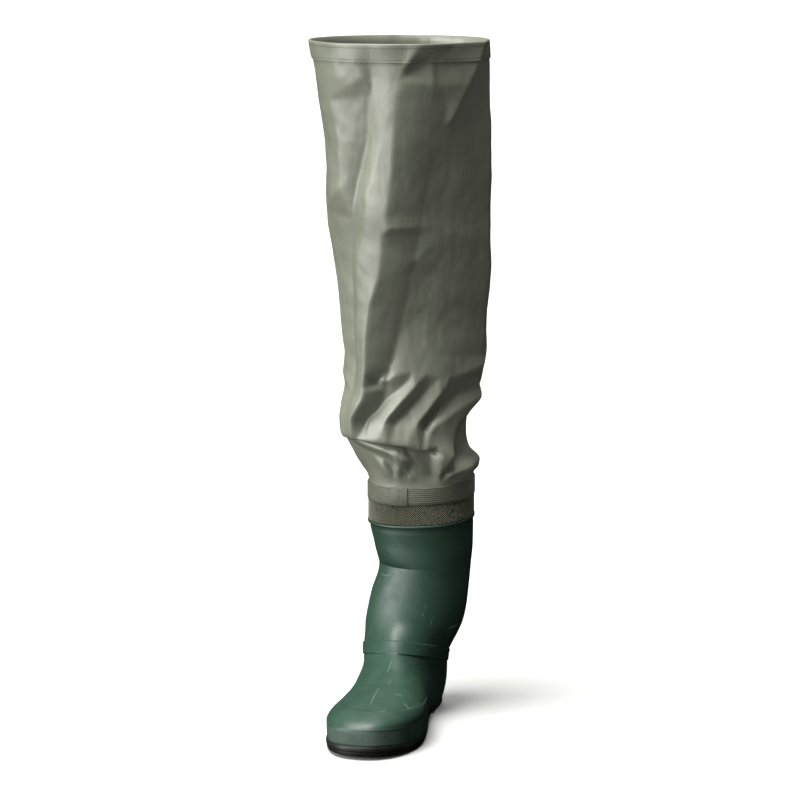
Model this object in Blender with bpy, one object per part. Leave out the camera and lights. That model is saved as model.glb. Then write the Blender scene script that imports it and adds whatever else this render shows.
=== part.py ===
"""Chest wader: a right boot of PVC with its coated cloth leg.

Metres, +Z up, the toe toward -Y and the inner side of the foot toward +X.
The origin lies on the floor under the middle of the heel.
"""

import math

import bmesh
import bpy
import numpy as np

# Driving dimensions
FOOT_LENGTH = 0.310
HEEL_REACH = 0.042  # from the origin back to the heel's rearmost point
BALL_WIDTH = 0.118
INSTEP_HEIGHT = 0.098
BOOT_HEIGHT = 0.232
SHAFT_WIDTH = 0.123
SHAFT_DEPTH = 0.129
COLLAR_HEIGHT = 0.024
TAPE_HEIGHT = 0.021
LEG_LENGTH = 0.514  # from the tape's upper edge to the top of the cloth
LEG_WIDTH = 0.210
HEM_HEIGHT = 0.020

# Walls, steps and clearances
RUBBER_WALL = 0.0025
CLOTH_WALL = 0.0007
TAPE_WALL = 0.0012
FLANGE_WALL = 0.0012
HEM_WALL = 0.0010
LAP_WALL = 0.0009
INSOLE_THICKNESS = 0.0035
GAP = 0.0003
BAND_STEP = 0.0013
BUMPER_STEP = 0.0010
CAP_STEP = 0.0008
BEAD_STEP = 0.0016
CREASE_DEPTH = 0.0035

# Sole
TOE_EDGE = 0.0115  # height of the black edge at the toe
HEEL_EDGE = 0.0060
DECK_HEIGHT = 0.0190
ARCH_RISE = 0.0115
TOE_SPRING = 0.0045
SOLE_LIP = 0.0025  # how far the edge stands out from the upper at the toe
SIDE_STEP = 0.0009
LUG_DEPTH = 0.0035
LUG_GROOVE = 0.0045
LUG_PITCH = 0.0135
LUG_BORDER = 0.0105
LUG_RIB = 0.0080
LUG_SPANS = ((0.045, 0.235), (0.560, 0.930))  # heel and forefoot, as places along the foot
LUG_LEAN = 0.8  # how far a slot's outer end lies behind its inner end, in slot widths
LIP_FADE = (0.35, 0.70)  # the lip grows to its full size between these places along the foot
LIP_AT_HEEL = 0.30  # as a share of SOLE_LIP
SIDE_SPLIT = (0.45, 0.55)  # where the edge's side steps out, as shares of its height
INSOLE_UPRIGHT = 0.75  # the footbed's edge is upright to this share of its thickness

COLUMNS = 44
INNER_EVERY = 2  # the inner skin keeps one ring in two
BISECTIONS = 40
RAY_REACH = 2.0  # rays start at a ring's middle and end this many half-widths away
SHARP_ANGLE = 35  # degrees

# Foot form: place along the foot from the heel back, centre line, half-width and the lean of the
# crest toward the inner side as shares of BALL_WIDTH, crest height as a share of INSTEP_HEIGHT,
# and how square the arch over the foot is
FOOT = (
    # along, centre, half, lean, crest, square
    (0.00, -0.016, 0.306, 0.00, 0.72, 2.2),
    (0.14, -0.016, 0.306, 0.00, 0.78, 2.2),
    (0.30, -0.028, 0.346, 0.00, 0.95, 2.0),
    (0.42, -0.026, 0.382, 0.02, 0.98, 1.8),
    (0.50, -0.006, 0.405, 0.07, 0.90, 1.7),
    (0.60, 0.016, 0.440, 0.13, 0.755, 1.7),
    (0.70, 0.036, 0.462, 0.14, 0.660, 1.85),
    (0.80, 0.054, 0.465, 0.10, 0.605, 2.05),
    (0.90, 0.062, 0.460, 0.05, 0.565, 2.25),
    (1.00, 0.060, 0.450, 0.02, 0.530, 2.4),
)
HEEL_ROUND = 0.125  # length of the round heel end as a share of FOOT_LENGTH
TOE_ROUND = 0.310
END_POWER = 2.15
WIDEST = 0.032  # height of the foot form's widest line
HEEL_TUCK = 0.23  # how much narrower the heel is at the floor, as a share
TOE_TUCK = 0.035
TUCK_FADE = (0.10, 0.45)  # the heel's tuck eases into the toe's between these places
ROUNDER_CREST = 0.2  # how much less square the crest is than the sides

# Shaft form: height as a share of BOOT_HEIGHT, inner and outer side as shares of SHAFT_WIDTH,
# front and back as shares of SHAFT_DEPTH, all from the heel's centre
SHAFT = (
    # height, inner, outer, front, back
    (0.00, 0.180, 0.180, 0.40, 0.240),
    (0.13, 0.215, 0.270, 0.46, 0.290),
    (0.25, 0.290, 0.385, 0.54, 0.325),
    (0.36, 0.405, 0.440, 0.59, 0.342),
    (0.45, 0.485, 0.440, 0.58, 0.352),
    (0.52, 0.515, 0.425, 0.56, 0.364),
    (0.62, 0.532, 0.390, 0.525, 0.388),
    (0.74, 0.545, 0.330, 0.495, 0.420),
    (0.86, 0.562, 0.375, 0.495, 0.445),
    (1.00, 0.562, 0.432, 0.515, 0.480),
    (1.20, 0.560, 0.440, 0.515, 0.485),
)
SHAFT_POWER = 2.15
BLEND = 0.022  # width of the soft joint between foot and shaft
RIM_ROLL = 0.035  # the rim is lower on its outer side, as a slope

# Rings of the boot's wall, from the sole's edge to the rim: where the ring meets the front, as a
# place along the foot and a height, its height at the back, how much it follows the sole's edge,
# and the step that it stands on. Heights are shares of BOOT_HEIGHT.
RINGS = (
    # along, front, back, follow, step
    (1.00, 0.069, 0.026, 1.0, "bumper"),
    (1.00, 0.112, 0.068, 0.7, "bumper"),
    (1.00, 0.150, 0.100, 0.4, "bumper"),
    (1.00, 0.154, 0.104, 0.4, "cap"),
    (0.98, 0.190, 0.126, 0.2, "cap"),
    (0.95, 0.216, 0.142, 0.1, "cap"),
    (0.95, 0.221, 0.146, 0.1, "plain"),
    (0.90, 0.250, 0.157, 0.0, "plain"),
    (0.82, 0.272, 0.167, 0.0, "plain"),
    (0.73, 0.298, 0.176, 0.0, "plain"),
    (0.64, 0.326, 0.184, 0.0, "plain"),
    (0.55, 0.355, 0.192, 0.0, "plain"),
    (0.50, 0.372, 0.198, 0.0, "plain"),
    (0.50, 0.376, 0.202, 0.0, "band"),
    (0.47, 0.400, 0.226, 0.0, "band"),
    (0.45, 0.424, 0.250, 0.0, "band"),
    (0.45, 0.428, 0.254, 0.0, "plain"),
    (0.42, 0.470, 0.310, 0.0, "plain"),
    (0.40, 0.530, 0.390, 0.0, "plain"),
    (0.38, 0.600, 0.480, 0.0, "plain"),
    (0.36, 0.670, 0.580, 0.0, "plain"),
    (0.35, 0.725, 0.665, 0.0, "plain"),
    (0.35, 0.765, 0.730, 0.0, "plain"),
    (0.35, 0.815, 0.800, 0.0, "plain"),
    (0.35, 0.880, 0.880, 0.0, "plain"),
    (0.35, 0.935, 0.946, 0.0, "plain"),
    (0.35, 0.973, 0.988, 0.0, "plain"),
    (0.35, 0.977, 0.992, 0.0, "bead"),
    (0.35, 0.988, 1.004, 0.0, "bead"),
)
STEPS = {
    "plain": 0.0,
    "bumper": BUMPER_STEP + CAP_STEP,
    "cap": CAP_STEP,
    "band": BAND_STEP,
    "bead": BEAD_STEP,
}
CAP_FADE = (0.50, 0.60)  # the toe cap and bumper rise between these places along the foot
CREASE_PLACE = (-30.0, 0.762)  # turn from the front in degrees, share of BOOT_HEIGHT
CREASE_SPREAD = (38.0, 0.035)

# Sole's upper edge: place along the foot, how far the edge has grown from HEEL_EDGE to TOE_EDGE,
# and how much it rises with the arch, as a share of ARCH_RISE
EDGE_LINE = (
    # along, grown, arch
    (0.00, 0.00, 0.00),
    (0.20, 0.00, 0.00),
    (0.28, 0.00, 0.45),
    (0.36, 0.00, 0.95),
    (0.46, 0.05, 0.75),
    (0.58, 0.30, 0.15),
    (0.70, 0.60, 0.00),
    (0.80, 0.88, 0.00),
    (0.90, 1.00, 0.00),
    (1.00, 1.00, 0.00),
)
# Walking face: place along the foot, and height as a share of TOE_SPRING
WALKING_LINE = (
    (0.00, 0.04),
    (0.03, 0.00),
    (0.72, 0.00),
    (0.80, 0.08),
    (0.90, 0.42),
    (1.00, 1.00),
)
# Arch between heel and ball: place along the foot, and height as a share of ARCH_RISE
ARCH_LINE = (
    (0.255, -0.60),
    (0.262, 0.86),
    (0.290, 1.00),
    (0.360, 0.92),
    (0.440, 0.52),
    (0.520, 0.00),
    (0.540, -0.60),
)
# Footbed: place along the foot, and height over the walking face as a share of DECK_HEIGHT
DECK_LINE = (
    (0.00, 1.00),
    (0.25, 1.00),
    (0.45, 0.95),
    (0.62, 0.76),
    (0.78, 0.76),
    (0.90, 0.86),
    (1.00, 0.94),
)

# Leg: height as a share of LEG_LENGTH above the tape, half-width and half-depth, and the shift
# of its middle toward the inner side and toward the back, all as shares of LEG_WIDTH
LEG = (
    # height, side, depth, inward, backward
    (-0.045, 0.294, 0.306, 0.036, -0.010),
    (-0.012, 0.294, 0.306, 0.036, -0.010),
    (0.020, 0.305, 0.318, 0.030, -0.012),
    (0.050, 0.326, 0.338, 0.010, -0.016),
    (0.085, 0.338, 0.352, -0.022, -0.020),
    (0.128, 0.366, 0.378, -0.043, -0.022),
    (0.175, 0.380, 0.394, -0.020, -0.024),
    (0.222, 0.383, 0.400, 0.000, -0.026),
    (0.270, 0.389, 0.406, 0.003, -0.028),
    (0.315, 0.395, 0.413, -0.002, -0.030),
    (0.360, 0.398, 0.418, -0.010, -0.030),
    (0.450, 0.419, 0.436, -0.012, -0.030),
    (0.540, 0.438, 0.452, -0.022, -0.032),
    (0.635, 0.455, 0.466, -0.038, -0.034),
    (0.770, 0.460, 0.474, -0.038, -0.036),
    (0.860, 0.476, 0.486, -0.054, -0.038),
    (1.000, 0.500, 0.508, -0.078, -0.040),
)
LEG_RINGS = (
    -0.036, 0.002, 0.016, 0.034, 0.056, 0.078, 0.100, 0.122, 0.145, 0.170, 0.197, 0.225,
    0.255, 0.288, 0.322, 0.360, 0.405, 0.455, 0.515, 0.585, 0.665, 0.750, 0.835, 0.905,
)

GRIP_FADE = (0.003, 0.030)  # heights where the cloth leaves the tape's ring for its own form
FOLDS_FADE = (0.010, 0.050)  # heights where the folds rise from nothing to their full lift
FOLD_END = 0.15  # lift that a fold keeps at its ends, as a share
TAPE_ROUNDING = 0.2  # the tape's rounded margin, as a share of its height

# Folds of the cloth: each runs through three places, given as a turn from the front in degrees
# and a height as a share of LEG_LENGTH. Lift and spread are shares of LEG_WIDTH, and a lift
# below zero is a trough.
FOLDS = (
    # lift, spread, start, middle, end
    (0.032, 0.060, (15, 1.02), (-6, 0.60), (-19, 0.40)),
    (0.030, 0.050, (-19, 0.40), (-27, 0.28), (-36, 0.145)),
    (-0.026, 0.060, (18, 0.93), (42, 0.97), (70, 1.02)),
    (-0.030, 0.055, (88, 1.02), (66, 0.90), (50, 0.80)),
    (0.022, 0.050, (40, 0.90), (58, 0.80), (84, 0.66)),
    (-0.020, 0.060, (-24, 0.25), (14, 0.335), (96, 0.29)),
    (0.026, 0.045, (-28, 0.20), (10, 0.29), (62, 0.30)),
    (-0.030, 0.038, (-29, 0.146), (-4, 0.20), (18, 0.275)),
    (0.028, 0.040, (-10, 0.135), (14, 0.20), (46, 0.27)),
    (-0.026, 0.035, (6, 0.15), (26, 0.19), (47, 0.24)),
    (-0.036, 0.045, (24, 0.123), (58, 0.20), (98, 0.29)),
    (0.030, 0.042, (30, 0.115), (60, 0.155), (94, 0.20)),
    (0.030, 0.036, (-66, 0.135), (0, 0.118), (64, 0.085)),
    (-0.034, 0.034, (-64, 0.085), (-20, 0.075), (8, 0.055)),
    (0.018, 0.030, (22, 0.045), (44, 0.055), (70, 0.060)),
    (-0.020, 0.030, (30, 0.030), (50, 0.030), (74, 0.035)),
    (-0.026, 0.060, (150, 0.10), (180, 0.16), (215, 0.12)),
    (0.024, 0.060, (140, 0.16), (178, 0.23), (225, 0.19)),
    (-0.020, 0.060, (135, 0.26), (180, 0.31), (230, 0.27)),
    (0.022, 0.070, (168, 0.34), (176, 0.60), (192, 0.98)),
    (-0.020, 0.070, (205, 0.30), (212, 0.55), (228, 0.95)),
    (0.020, 0.060, (118, 0.22), (126, 0.45), (140, 0.90)),
    (-0.024, 0.050, (232, 0.10), (262, 0.16), (288, 0.22)),
    (0.024, 0.050, (240, 0.16), (266, 0.22), (296, 0.30)),
)

# Colours as sRGB, from the photo
GREEN = (0.17, 0.29, 0.22)
BLACK = (0.10, 0.11, 0.08)
OLIVE_DARK = (0.24, 0.25, 0.18)
OLIVE_TAPE = (0.42, 0.44, 0.35)
CLOTH = (0.47, 0.49, 0.41)
FOOTBED = (0.30, 0.31, 0.27)


def smooth(at, places, values):
    """A soft curve through the rows of a table, flat beyond its ends."""
    places = np.asarray(places, float)
    values = np.asarray(values, float)
    steps = np.diff(places)
    slopes = np.diff(values) / steps
    tangents = np.concatenate([slopes[:1], (slopes[1:] + slopes[:-1]) / 2, slopes[-1:]])
    turning = slopes[1:] * slopes[:-1] <= 0
    tangents[1:-1][turning] = 0
    limit = 3 * np.minimum(np.abs(slopes[1:]), np.abs(slopes[:-1]))
    tangents[1:-1] = np.clip(tangents[1:-1], -limit, limit)
    at = np.clip(np.asarray(at, float), places[0], places[-1])
    row = np.clip(np.searchsorted(places, at, side="right") - 1, 0, len(steps) - 1)
    t = (at - places[row]) / steps[row]
    return (
        values[row] * (1 + 2 * t) * (1 - t) ** 2
        + tangents[row] * steps[row] * t * (1 - t) ** 2
        + values[row + 1] * t**2 * (3 - 2 * t)
        + tangents[row + 1] * steps[row] * t**2 * (t - 1)
    )


def column(table, index):
    return [row[index] for row in table]


def along_foot(y):
    """Place along the foot, 0 at the heel's back and 1 at the toe."""
    return (HEEL_REACH - y) / FOOT_LENGTH


def foot_y(along):
    return HEEL_REACH - along * FOOT_LENGTH


def fade(at, span):
    """A straight rise from 0 at the span's start to 1 at its end."""
    return np.clip((at - span[0]) / (span[1] - span[0]), 0, 1)


def line_share(line, index, y):
    return smooth(along_foot(y), column(line, 0), column(line, index))


def walking_height(y):
    return line_share(WALKING_LINE, 1, y) * TOE_SPRING


def edge_height(y):
    edge = HEEL_EDGE + (TOE_EDGE - HEEL_EDGE) * line_share(EDGE_LINE, 1, y)
    return walking_height(y) + edge + line_share(EDGE_LINE, 2, y) * ARCH_RISE


def deck_height(y):
    return walking_height(y) + line_share(DECK_LINE, 1, y) * DECK_HEIGHT


def foot_distance(x, y, z):
    """Below zero inside the foot form, above zero outside it."""
    along = along_foot(y)
    places = column(FOOT, 0)
    centre = smooth(along, places, column(FOOT, 1)) * BALL_WIDTH
    half = smooth(along, places, column(FOOT, 2)) * BALL_WIDTH
    lean = smooth(along, places, column(FOOT, 3)) * BALL_WIDTH
    crest = smooth(along, places, column(FOOT, 4)) * INSTEP_HEIGHT
    square = smooth(along, places, column(FOOT, 5))
    high = np.clip(z - WIDEST, 0, None) / (crest - WIDEST)
    centre = centre + lean * high
    tuck = HEEL_TUCK + (TOE_TUCK - HEEL_TUCK) * fade(along, TUCK_FADE)
    low = np.clip((WIDEST - z) / WIDEST, 0, 1)
    narrow = 1 - tuck * low**2
    heel_end = np.clip((HEEL_ROUND - along) / HEEL_ROUND, 0, None)
    toe_end = np.clip((along - 1 + TOE_ROUND) / TOE_ROUND, 0, None)
    side = (np.abs(x - centre) / (half * narrow)) ** square
    top = high ** (square - ROUNDER_CREST)
    ends = (np.maximum(heel_end, toe_end) / np.sqrt(narrow)) ** END_POWER
    return ((side + top + ends) ** (1 / square) - 1) * WIDEST


def shaft_sides(z):
    at = z / BOOT_HEIGHT
    places = column(SHAFT, 0)
    inner, outer = (smooth(at, places, column(SHAFT, i)) * SHAFT_WIDTH for i in (1, 2))
    front, back = (smooth(at, places, column(SHAFT, i)) * SHAFT_DEPTH for i in (3, 4))
    return inner, outer, front, back


def shaft_distance(x, y, z):
    inner, outer, front, back = shaft_sides(z)
    across = np.abs(x - (inner - outer) / 2) / ((inner + outer) / 2)
    deep = np.abs(y - (back - front) / 2) / ((back + front) / 2)
    return ((across**SHAFT_POWER + deep**SHAFT_POWER) ** (1 / SHAFT_POWER) - 1) * WIDEST


def boot_distance(x, y, z):
    foot = foot_distance(x, y, z)
    shaft = shaft_distance(x, y, z)
    mix = np.clip(0.5 + 0.5 * (shaft - foot) / BLEND, 0, 1)
    return shaft + (foot - shaft) * mix - BLEND * mix * (1 - mix)


def turns():
    """Angles of the columns, 0 at the front and rising toward the inner side."""
    return np.arange(COLUMNS) * 2 * math.pi / COLUMNS


def ring_height(row, x, y):
    """Height of a ring of the boot over a point of the floor."""
    along, front, back, follow, _ = row
    slope = (front - back) * BOOT_HEIGHT / along
    straight = back * BOOT_HEIGHT + slope * along_foot(y)
    first = RINGS[0]
    base = (first[2] + (first[1] - first[2]) * along_foot(y)) * BOOT_HEIGHT
    roll = RIM_ROLL * x * np.clip(back * 2 - 1, 0, 1)
    return straight + follow * (edge_height(y) - base) + roll


def ring_points(row):
    """Where rays from the middle of a ring leave the boot's plain form."""
    along, front, back, _, _ = row
    inner, outer, shaft_front, shaft_back = shaft_sides((front + back) / 2 * BOOT_HEIGHT)
    fore = max(-foot_y(along), shaft_front)
    aft = shaft_back
    half_x = (BALL_WIDTH + inner + outer) / 4
    half_y = (fore + aft) / 2
    centre_x = (inner - outer) / 2 * min(1, back)
    centre_y = (aft - fore) / 2
    way_x = half_x * np.sin(turns())
    way_y = -half_y * np.cos(turns())
    near = np.zeros(COLUMNS)
    far = np.full(COLUMNS, RAY_REACH)
    for _ in range(BISECTIONS):
        middle = (near + far) / 2
        x = centre_x + middle * way_x
        y = centre_y + middle * way_y
        inside = boot_distance(x, y, ring_height(row, x, y)) < 0
        near = np.where(inside, middle, near)
        far = np.where(inside, far, middle)
    x = centre_x + near * way_x
    y = centre_y + near * way_y
    return np.stack([x, y, ring_height(row, x, y)], axis=1)


def grid_normals(grid):
    """Outward normals of a grid of rings, each ring a closed loop."""
    around = np.roll(grid, -1, axis=1) - np.roll(grid, 1, axis=1)
    up = np.gradient(grid, axis=0)
    normals = np.cross(around, up)
    return normals / np.linalg.norm(normals, axis=2, keepdims=True)


def flat_normals(ring):
    """Normals of a ring seen from above, with no height."""
    around = np.roll(ring, -1, axis=0) - np.roll(ring, 1, axis=0)
    normals = np.stack([around[:, 1], -around[:, 0], np.zeros(len(ring))], axis=1)
    return normals / np.linalg.norm(normals, axis=1, keepdims=True)


def crease(grid):
    """Depth of the dent across the front of the shaft."""
    turn = np.degrees(turns())[None, :]
    turn = (turn + 180) % 360 - 180
    across = np.exp(-(((turn - CREASE_PLACE[0]) / CREASE_SPREAD[0]) ** 2))
    height = grid[:, :, 2] / BOOT_HEIGHT - CREASE_PLACE[1]
    return CREASE_DEPTH * across * np.exp(-((height / CREASE_SPREAD[1]) ** 2))


def boot_skins():
    """Outer and inner skin of the boot, from the sole's edge up to the rim."""
    plain = np.array([ring_points(row) for row in RINGS])
    normals = grid_normals(plain)
    normals[0] = flat_normals(plain[0])
    normals[-1] = flat_normals(plain[-1])
    plain = plain - crease(plain)[:, :, None] * normals
    on_toe = fade(along_foot(plain[:, :, 1]), CAP_FADE)
    lift = np.array([STEPS[row[4]] for row in RINGS])[:, None]
    toe_only = np.array([row[4] in ("bumper", "cap") for row in RINGS])[:, None]
    lift = lift * np.where(toe_only, on_toe, 1)
    outer = plain + lift[:, :, None] * normals
    inner = plain - RUBBER_WALL * normals
    keep = list(range(0, len(RINGS) - 1, INNER_EVERY)) + [len(RINGS) - 1]
    return outer, inner[keep]


def offset_ring(ring, distance):
    return ring + np.asarray(distance).reshape(-1, 1) * flat_normals(ring)


def at_height(ring, height):
    return np.stack([ring[:, 0], ring[:, 1], height], axis=1)


def loft_faces(rings, wrap):
    """Triangles between rings of equal count; wrap joins the last ring to the first.

    Every diagonal climbs the same way round, so that skins that lie together split alike.
    """
    count, columns = rings.shape[:2]
    levels = rings[:, :, 2].mean(axis=1)
    faces = []
    for ring in range(count if wrap else count - 1):
        above = (ring + 1) % count
        climbs = levels[above] >= levels[ring]
        for here in range(columns):
            there = (here + 1) % columns
            low, low_next = ring * columns + here, ring * columns + there
            high, high_next = above * columns + here, above * columns + there
            if climbs:
                faces += [(low, low_next, high_next), (low, high_next, high)]
            else:
                faces += [(low, low_next, high), (low_next, high_next, high)]
    return faces


def cap_faces(first, columns):
    """Strips across a ring, from its inner side to its outer side."""
    faces = [(first, first + 1, first + columns - 1)]
    half = columns // 2
    for here in range(1, half - 1):
        faces.append((first + here, first + here + 1, first + columns - here - 1, first + columns - here))
    faces.append((first + half - 1, first + half, first + half + 1))
    return faces


def mesh_object(name, points, faces, material, collection):
    mesh = bpy.data.meshes.new(name)
    mesh.from_pydata([tuple(map(float, p)) for p in points], [], faces)
    tool = bmesh.new()
    tool.from_mesh(mesh)
    bmesh.ops.recalc_face_normals(tool, faces=tool.faces)
    tool.to_mesh(mesh)
    tool.free()
    mesh.shade_smooth()
    mesh.set_sharp_from_angle(angle=math.radians(SHARP_ANGLE))
    thing = bpy.data.objects.new(name, mesh)
    if material:
        mesh.materials.append(material)
    collection.objects.link(thing)
    return thing


def ring_solid(name, rings, material, collection):
    """A closed band: rings go up the outside and come down the inside."""
    rings = np.asarray(rings)
    faces = loft_faces(rings, True)
    return mesh_object(name, rings.reshape(-1, 3), faces, material, collection)


def plate_solid(name, rings, material, collection):
    """A closed slab: rings go up its edge, and strips close it below and above."""
    rings = np.asarray(rings)
    columns = rings.shape[1]
    faces = loft_faces(rings, False)
    faces += cap_faces(0, columns)
    faces += cap_faces((len(rings) - 1) * columns, columns)
    return mesh_object(name, rings.reshape(-1, 3), faces, material, collection)


def principled(name, colour, roughness):
    material = bpy.data.materials.new(name)
    material.use_nodes = True
    shader = material.node_tree.nodes["Principled BSDF"]
    linear = [c / 12.92 if c <= 0.04045 else ((c + 0.055) / 1.055) ** 2.4 for c in colour]
    shader.inputs["Base Color"].default_value = (*linear, 1)
    shader.inputs["Roughness"].default_value = roughness
    shader.inputs["Metallic"].default_value = 0
    return material


def sole_lip(ring):
    """How far the black edge stands out from the upper: most at the toe, little at the heel."""
    grown = fade(along_foot(ring[:, 1]), LIP_FADE)
    return SOLE_LIP * (LIP_AT_HEEL + (1 - LIP_AT_HEEL) * grown)


def cutter(name, points, faces, collection):
    tool = mesh_object(name, points, faces, None, collection)
    tool.hide_render = True
    tool.display_type = "WIRE"
    return tool


def arch_cutter(collection):
    """A prism across the foot that lifts the waist off the floor and leaves a heel block."""
    reach = BALL_WIDTH
    outline = [(foot_y(along), rise * ARCH_RISE) for along, rise in ARCH_LINE]
    count = len(outline)
    points = [(side * reach, y, z) for side in (-1, 1) for y, z in outline]
    faces = [tuple(range(count)), tuple(range(2 * count - 1, count - 1, -1))]
    for here in range(count):
        there = (here + 1) % count
        faces.append((here, there, count + there, count + here))
    return cutter("arch_cut", points, faces, collection)


def groove_cutters(edge, collection):
    """Slots between the lugs, a pair for each step of the pitch, in a shallow V."""
    grooves = []
    for first, last in LUG_SPANS:
        length = (last - first) * FOOT_LENGTH
        count = int(length // LUG_PITCH)
        start = foot_y(first) - (length - (count - 1) * LUG_PITCH) / 2
        for step in range(count):
            y = start - step * LUG_PITCH
            for side in (1, -1):
                sides = edge[:, 0] * side > 0
                order = np.argsort(edge[sides, 1])
                reach = np.interp(y, edge[sides, 1][order], np.abs(edge[sides, 0][order]))
                middle = smooth(along_foot(y), column(FOOT, 0), column(FOOT, 1)) * BALL_WIDTH * side
                inner = middle + LUG_RIB / 2
                outer = reach - LUG_BORDER
                if outer - inner < 2 * LUG_GROOVE:
                    continue
                grooves.append((side, y, inner, outer))
    points = []
    faces = []
    for side, y, inner, outer in grooves:
        low = -2 * LUG_DEPTH
        lean = LUG_GROOVE * LUG_LEAN
        first = len(points)
        for x, shift in ((inner, 0), (outer, lean)):
            for half in (-LUG_GROOVE / 2, LUG_GROOVE / 2):
                place = y + shift + half
                top = float(walking_height(place)) + LUG_DEPTH
                points.append((side * x, place, low))
                points.append((side * x, place, top))
        box = ((0, 1, 3, 2), (4, 6, 7, 5), (0, 4, 5, 1), (2, 3, 7, 6), (0, 2, 6, 4), (1, 5, 7, 3))
        faces += [tuple(first + corner for corner in face) for face in box]
    return cutter("lug_cut", points, faces, collection)


def cut(thing, tool):
    modifier = thing.modifiers.new(tool.name, "BOOLEAN")
    modifier.object = tool
    modifier.operation = "DIFFERENCE"
    modifier.solver = "EXACT"


def make_outsole(edge, material, collection, cutters):
    """Slab with a stepped side on the boot's plain lower ring, up to the deck inside the boot."""
    y = edge[:, 1]
    lip = sole_lip(edge)
    top = edge_height(y) - GAP
    floor = walking_height(y)
    seat = offset_ring(edge, -(RUBBER_WALL + STEPS["bumper"] + 2 * GAP) * np.ones(len(y)))
    rings = [
        at_height(offset_ring(edge, lip - 3 * SIDE_STEP), floor),
        at_height(offset_ring(edge, lip - SIDE_STEP), floor + 2 * SIDE_STEP),
        at_height(offset_ring(edge, lip - SIDE_STEP), floor + (top - floor) * SIDE_SPLIT[0]),
        at_height(offset_ring(edge, lip), floor + (top - floor) * SIDE_SPLIT[1]),
        at_height(offset_ring(edge, lip), top - SIDE_STEP),
        at_height(offset_ring(edge, lip - SIDE_STEP), top),
        at_height(seat, edge_height(seat[:, 1]) - GAP),
        at_height(seat, deck_height(seat[:, 1])),
    ]
    sole = plate_solid("outsole", rings, material, collection)
    cut(sole, arch_cutter(cutters))
    cut(sole, groove_cutters(edge, cutters))
    return seat


def make_insole(seat, material, collection):
    outline = offset_ring(seat, -2 * GAP * np.ones(len(seat)))
    bevel = offset_ring(outline, (INSOLE_UPRIGHT - 1) * INSOLE_THICKNESS * np.ones(len(seat)))
    low = deck_height(outline[:, 1]) + GAP
    rings = [
        at_height(outline, low),
        at_height(outline, low + INSOLE_THICKNESS * INSOLE_UPRIGHT),
        at_height(bevel, deck_height(bevel[:, 1]) + GAP + INSOLE_THICKNESS),
    ]
    plate_solid("insole", rings, material, collection)


def rim_point(lift, rise):
    """A ring above the boot's rim: moved outward by lift and up by rise."""
    ring = ring_points(RINGS[-1])
    ring = offset_ring(ring, np.full(COLUMNS, lift))
    ring[:, 2] += rise
    return ring


def make_collar(material, collection):
    """Knurled band that seats on the rim, with a thin flange up behind the cloth and the tape."""
    outside = 0.0
    flange = outside - CLOTH_WALL - 2 * GAP
    top = GAP + COLLAR_HEIGHT
    high = top + TAPE_HEIGHT
    inside = flange - FLANGE_WALL
    rings = [
        rim_point(outside, GAP),
        rim_point(outside + GAP, GAP + COLLAR_HEIGHT / 2),
        rim_point(outside, top),
        rim_point(flange, top),
        rim_point(flange, high),
        rim_point(inside, high),
        rim_point(inside, GAP),
    ]
    ring_solid("knurled_collar", rings, material, collection)


def make_tape(material, collection):
    low = 2 * GAP + COLLAR_HEIGHT
    high = low + TAPE_HEIGHT
    margin = TAPE_HEIGHT * TAPE_ROUNDING
    inside = GAP
    outside = inside + TAPE_WALL
    rings = [
        rim_point(outside - 2 * GAP, low),
        rim_point(outside, low + margin),
        rim_point(outside, high - margin),
        rim_point(outside - 2 * GAP, high),
        rim_point(inside, high),
        rim_point(inside, low),
    ]
    ring_solid("ribbed_tape", rings, material, collection)


def make_lap(material, collection):
    """The tape's free end: a plate two columns wide, on the outer side of the front."""
    low = 2 * GAP + COLLAR_HEIGHT
    inside = GAP + TAPE_WALL + GAP
    columns = [COLUMNS - 2, COLUMNS - 1, 0]
    corners = [
        rim_point(inside, low),
        rim_point(inside + LAP_WALL, low),
        rim_point(inside + LAP_WALL, low + TAPE_HEIGHT),
        rim_point(inside, low + TAPE_HEIGHT),
    ]
    points = [corner[index] for index in columns for corner in corners]
    faces = [(0, 1, 2, 3), (11, 10, 9, 8)]
    for slice_start in (0, 4):
        for corner in range(4):
            after = (corner + 1) % 4
            faces.append(
                (
                    slice_start + corner,
                    slice_start + after,
                    slice_start + 4 + after,
                    slice_start + 4 + corner,
                )
            )
    mesh_object("tape_lap", points, faces, material, collection)


def fold_lift(turn, height):
    """Sum of the folds at a place of the leg, in metres."""
    total = np.zeros(np.broadcast(turn, height).shape)
    round_scale = LEG_WIDTH / 2 * math.pi / 180
    for lift, spread, *places in FOLDS:
        best = np.full(total.shape, np.inf)
        share = np.zeros(total.shape)
        for part in range(2):
            start_turn, start_height = places[part]
            end_turn, end_height = places[part + 1]
            step_turn = (end_turn - start_turn) * round_scale
            step_height = (end_height - start_height) * LEG_LENGTH
            away_turn = ((turn - start_turn + 180) % 360 - 180) * round_scale
            away_height = (height - start_height) * LEG_LENGTH
            length = step_turn**2 + step_height**2
            t = np.clip((away_turn * step_turn + away_height * step_height) / length, 0, 1)
            gap = np.hypot(away_turn - t * step_turn, away_height - t * step_height)
            nearer = gap < best
            best = np.where(nearer, gap, best)
            share = np.where(nearer, (part + t) / 2, share)
        taper = np.clip(4 * share * (1 - share), FOLD_END, 1)
        total += lift * LEG_WIDTH * taper * np.exp(-((best / (spread * LEG_WIDTH)) ** 2))
    return total


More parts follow.
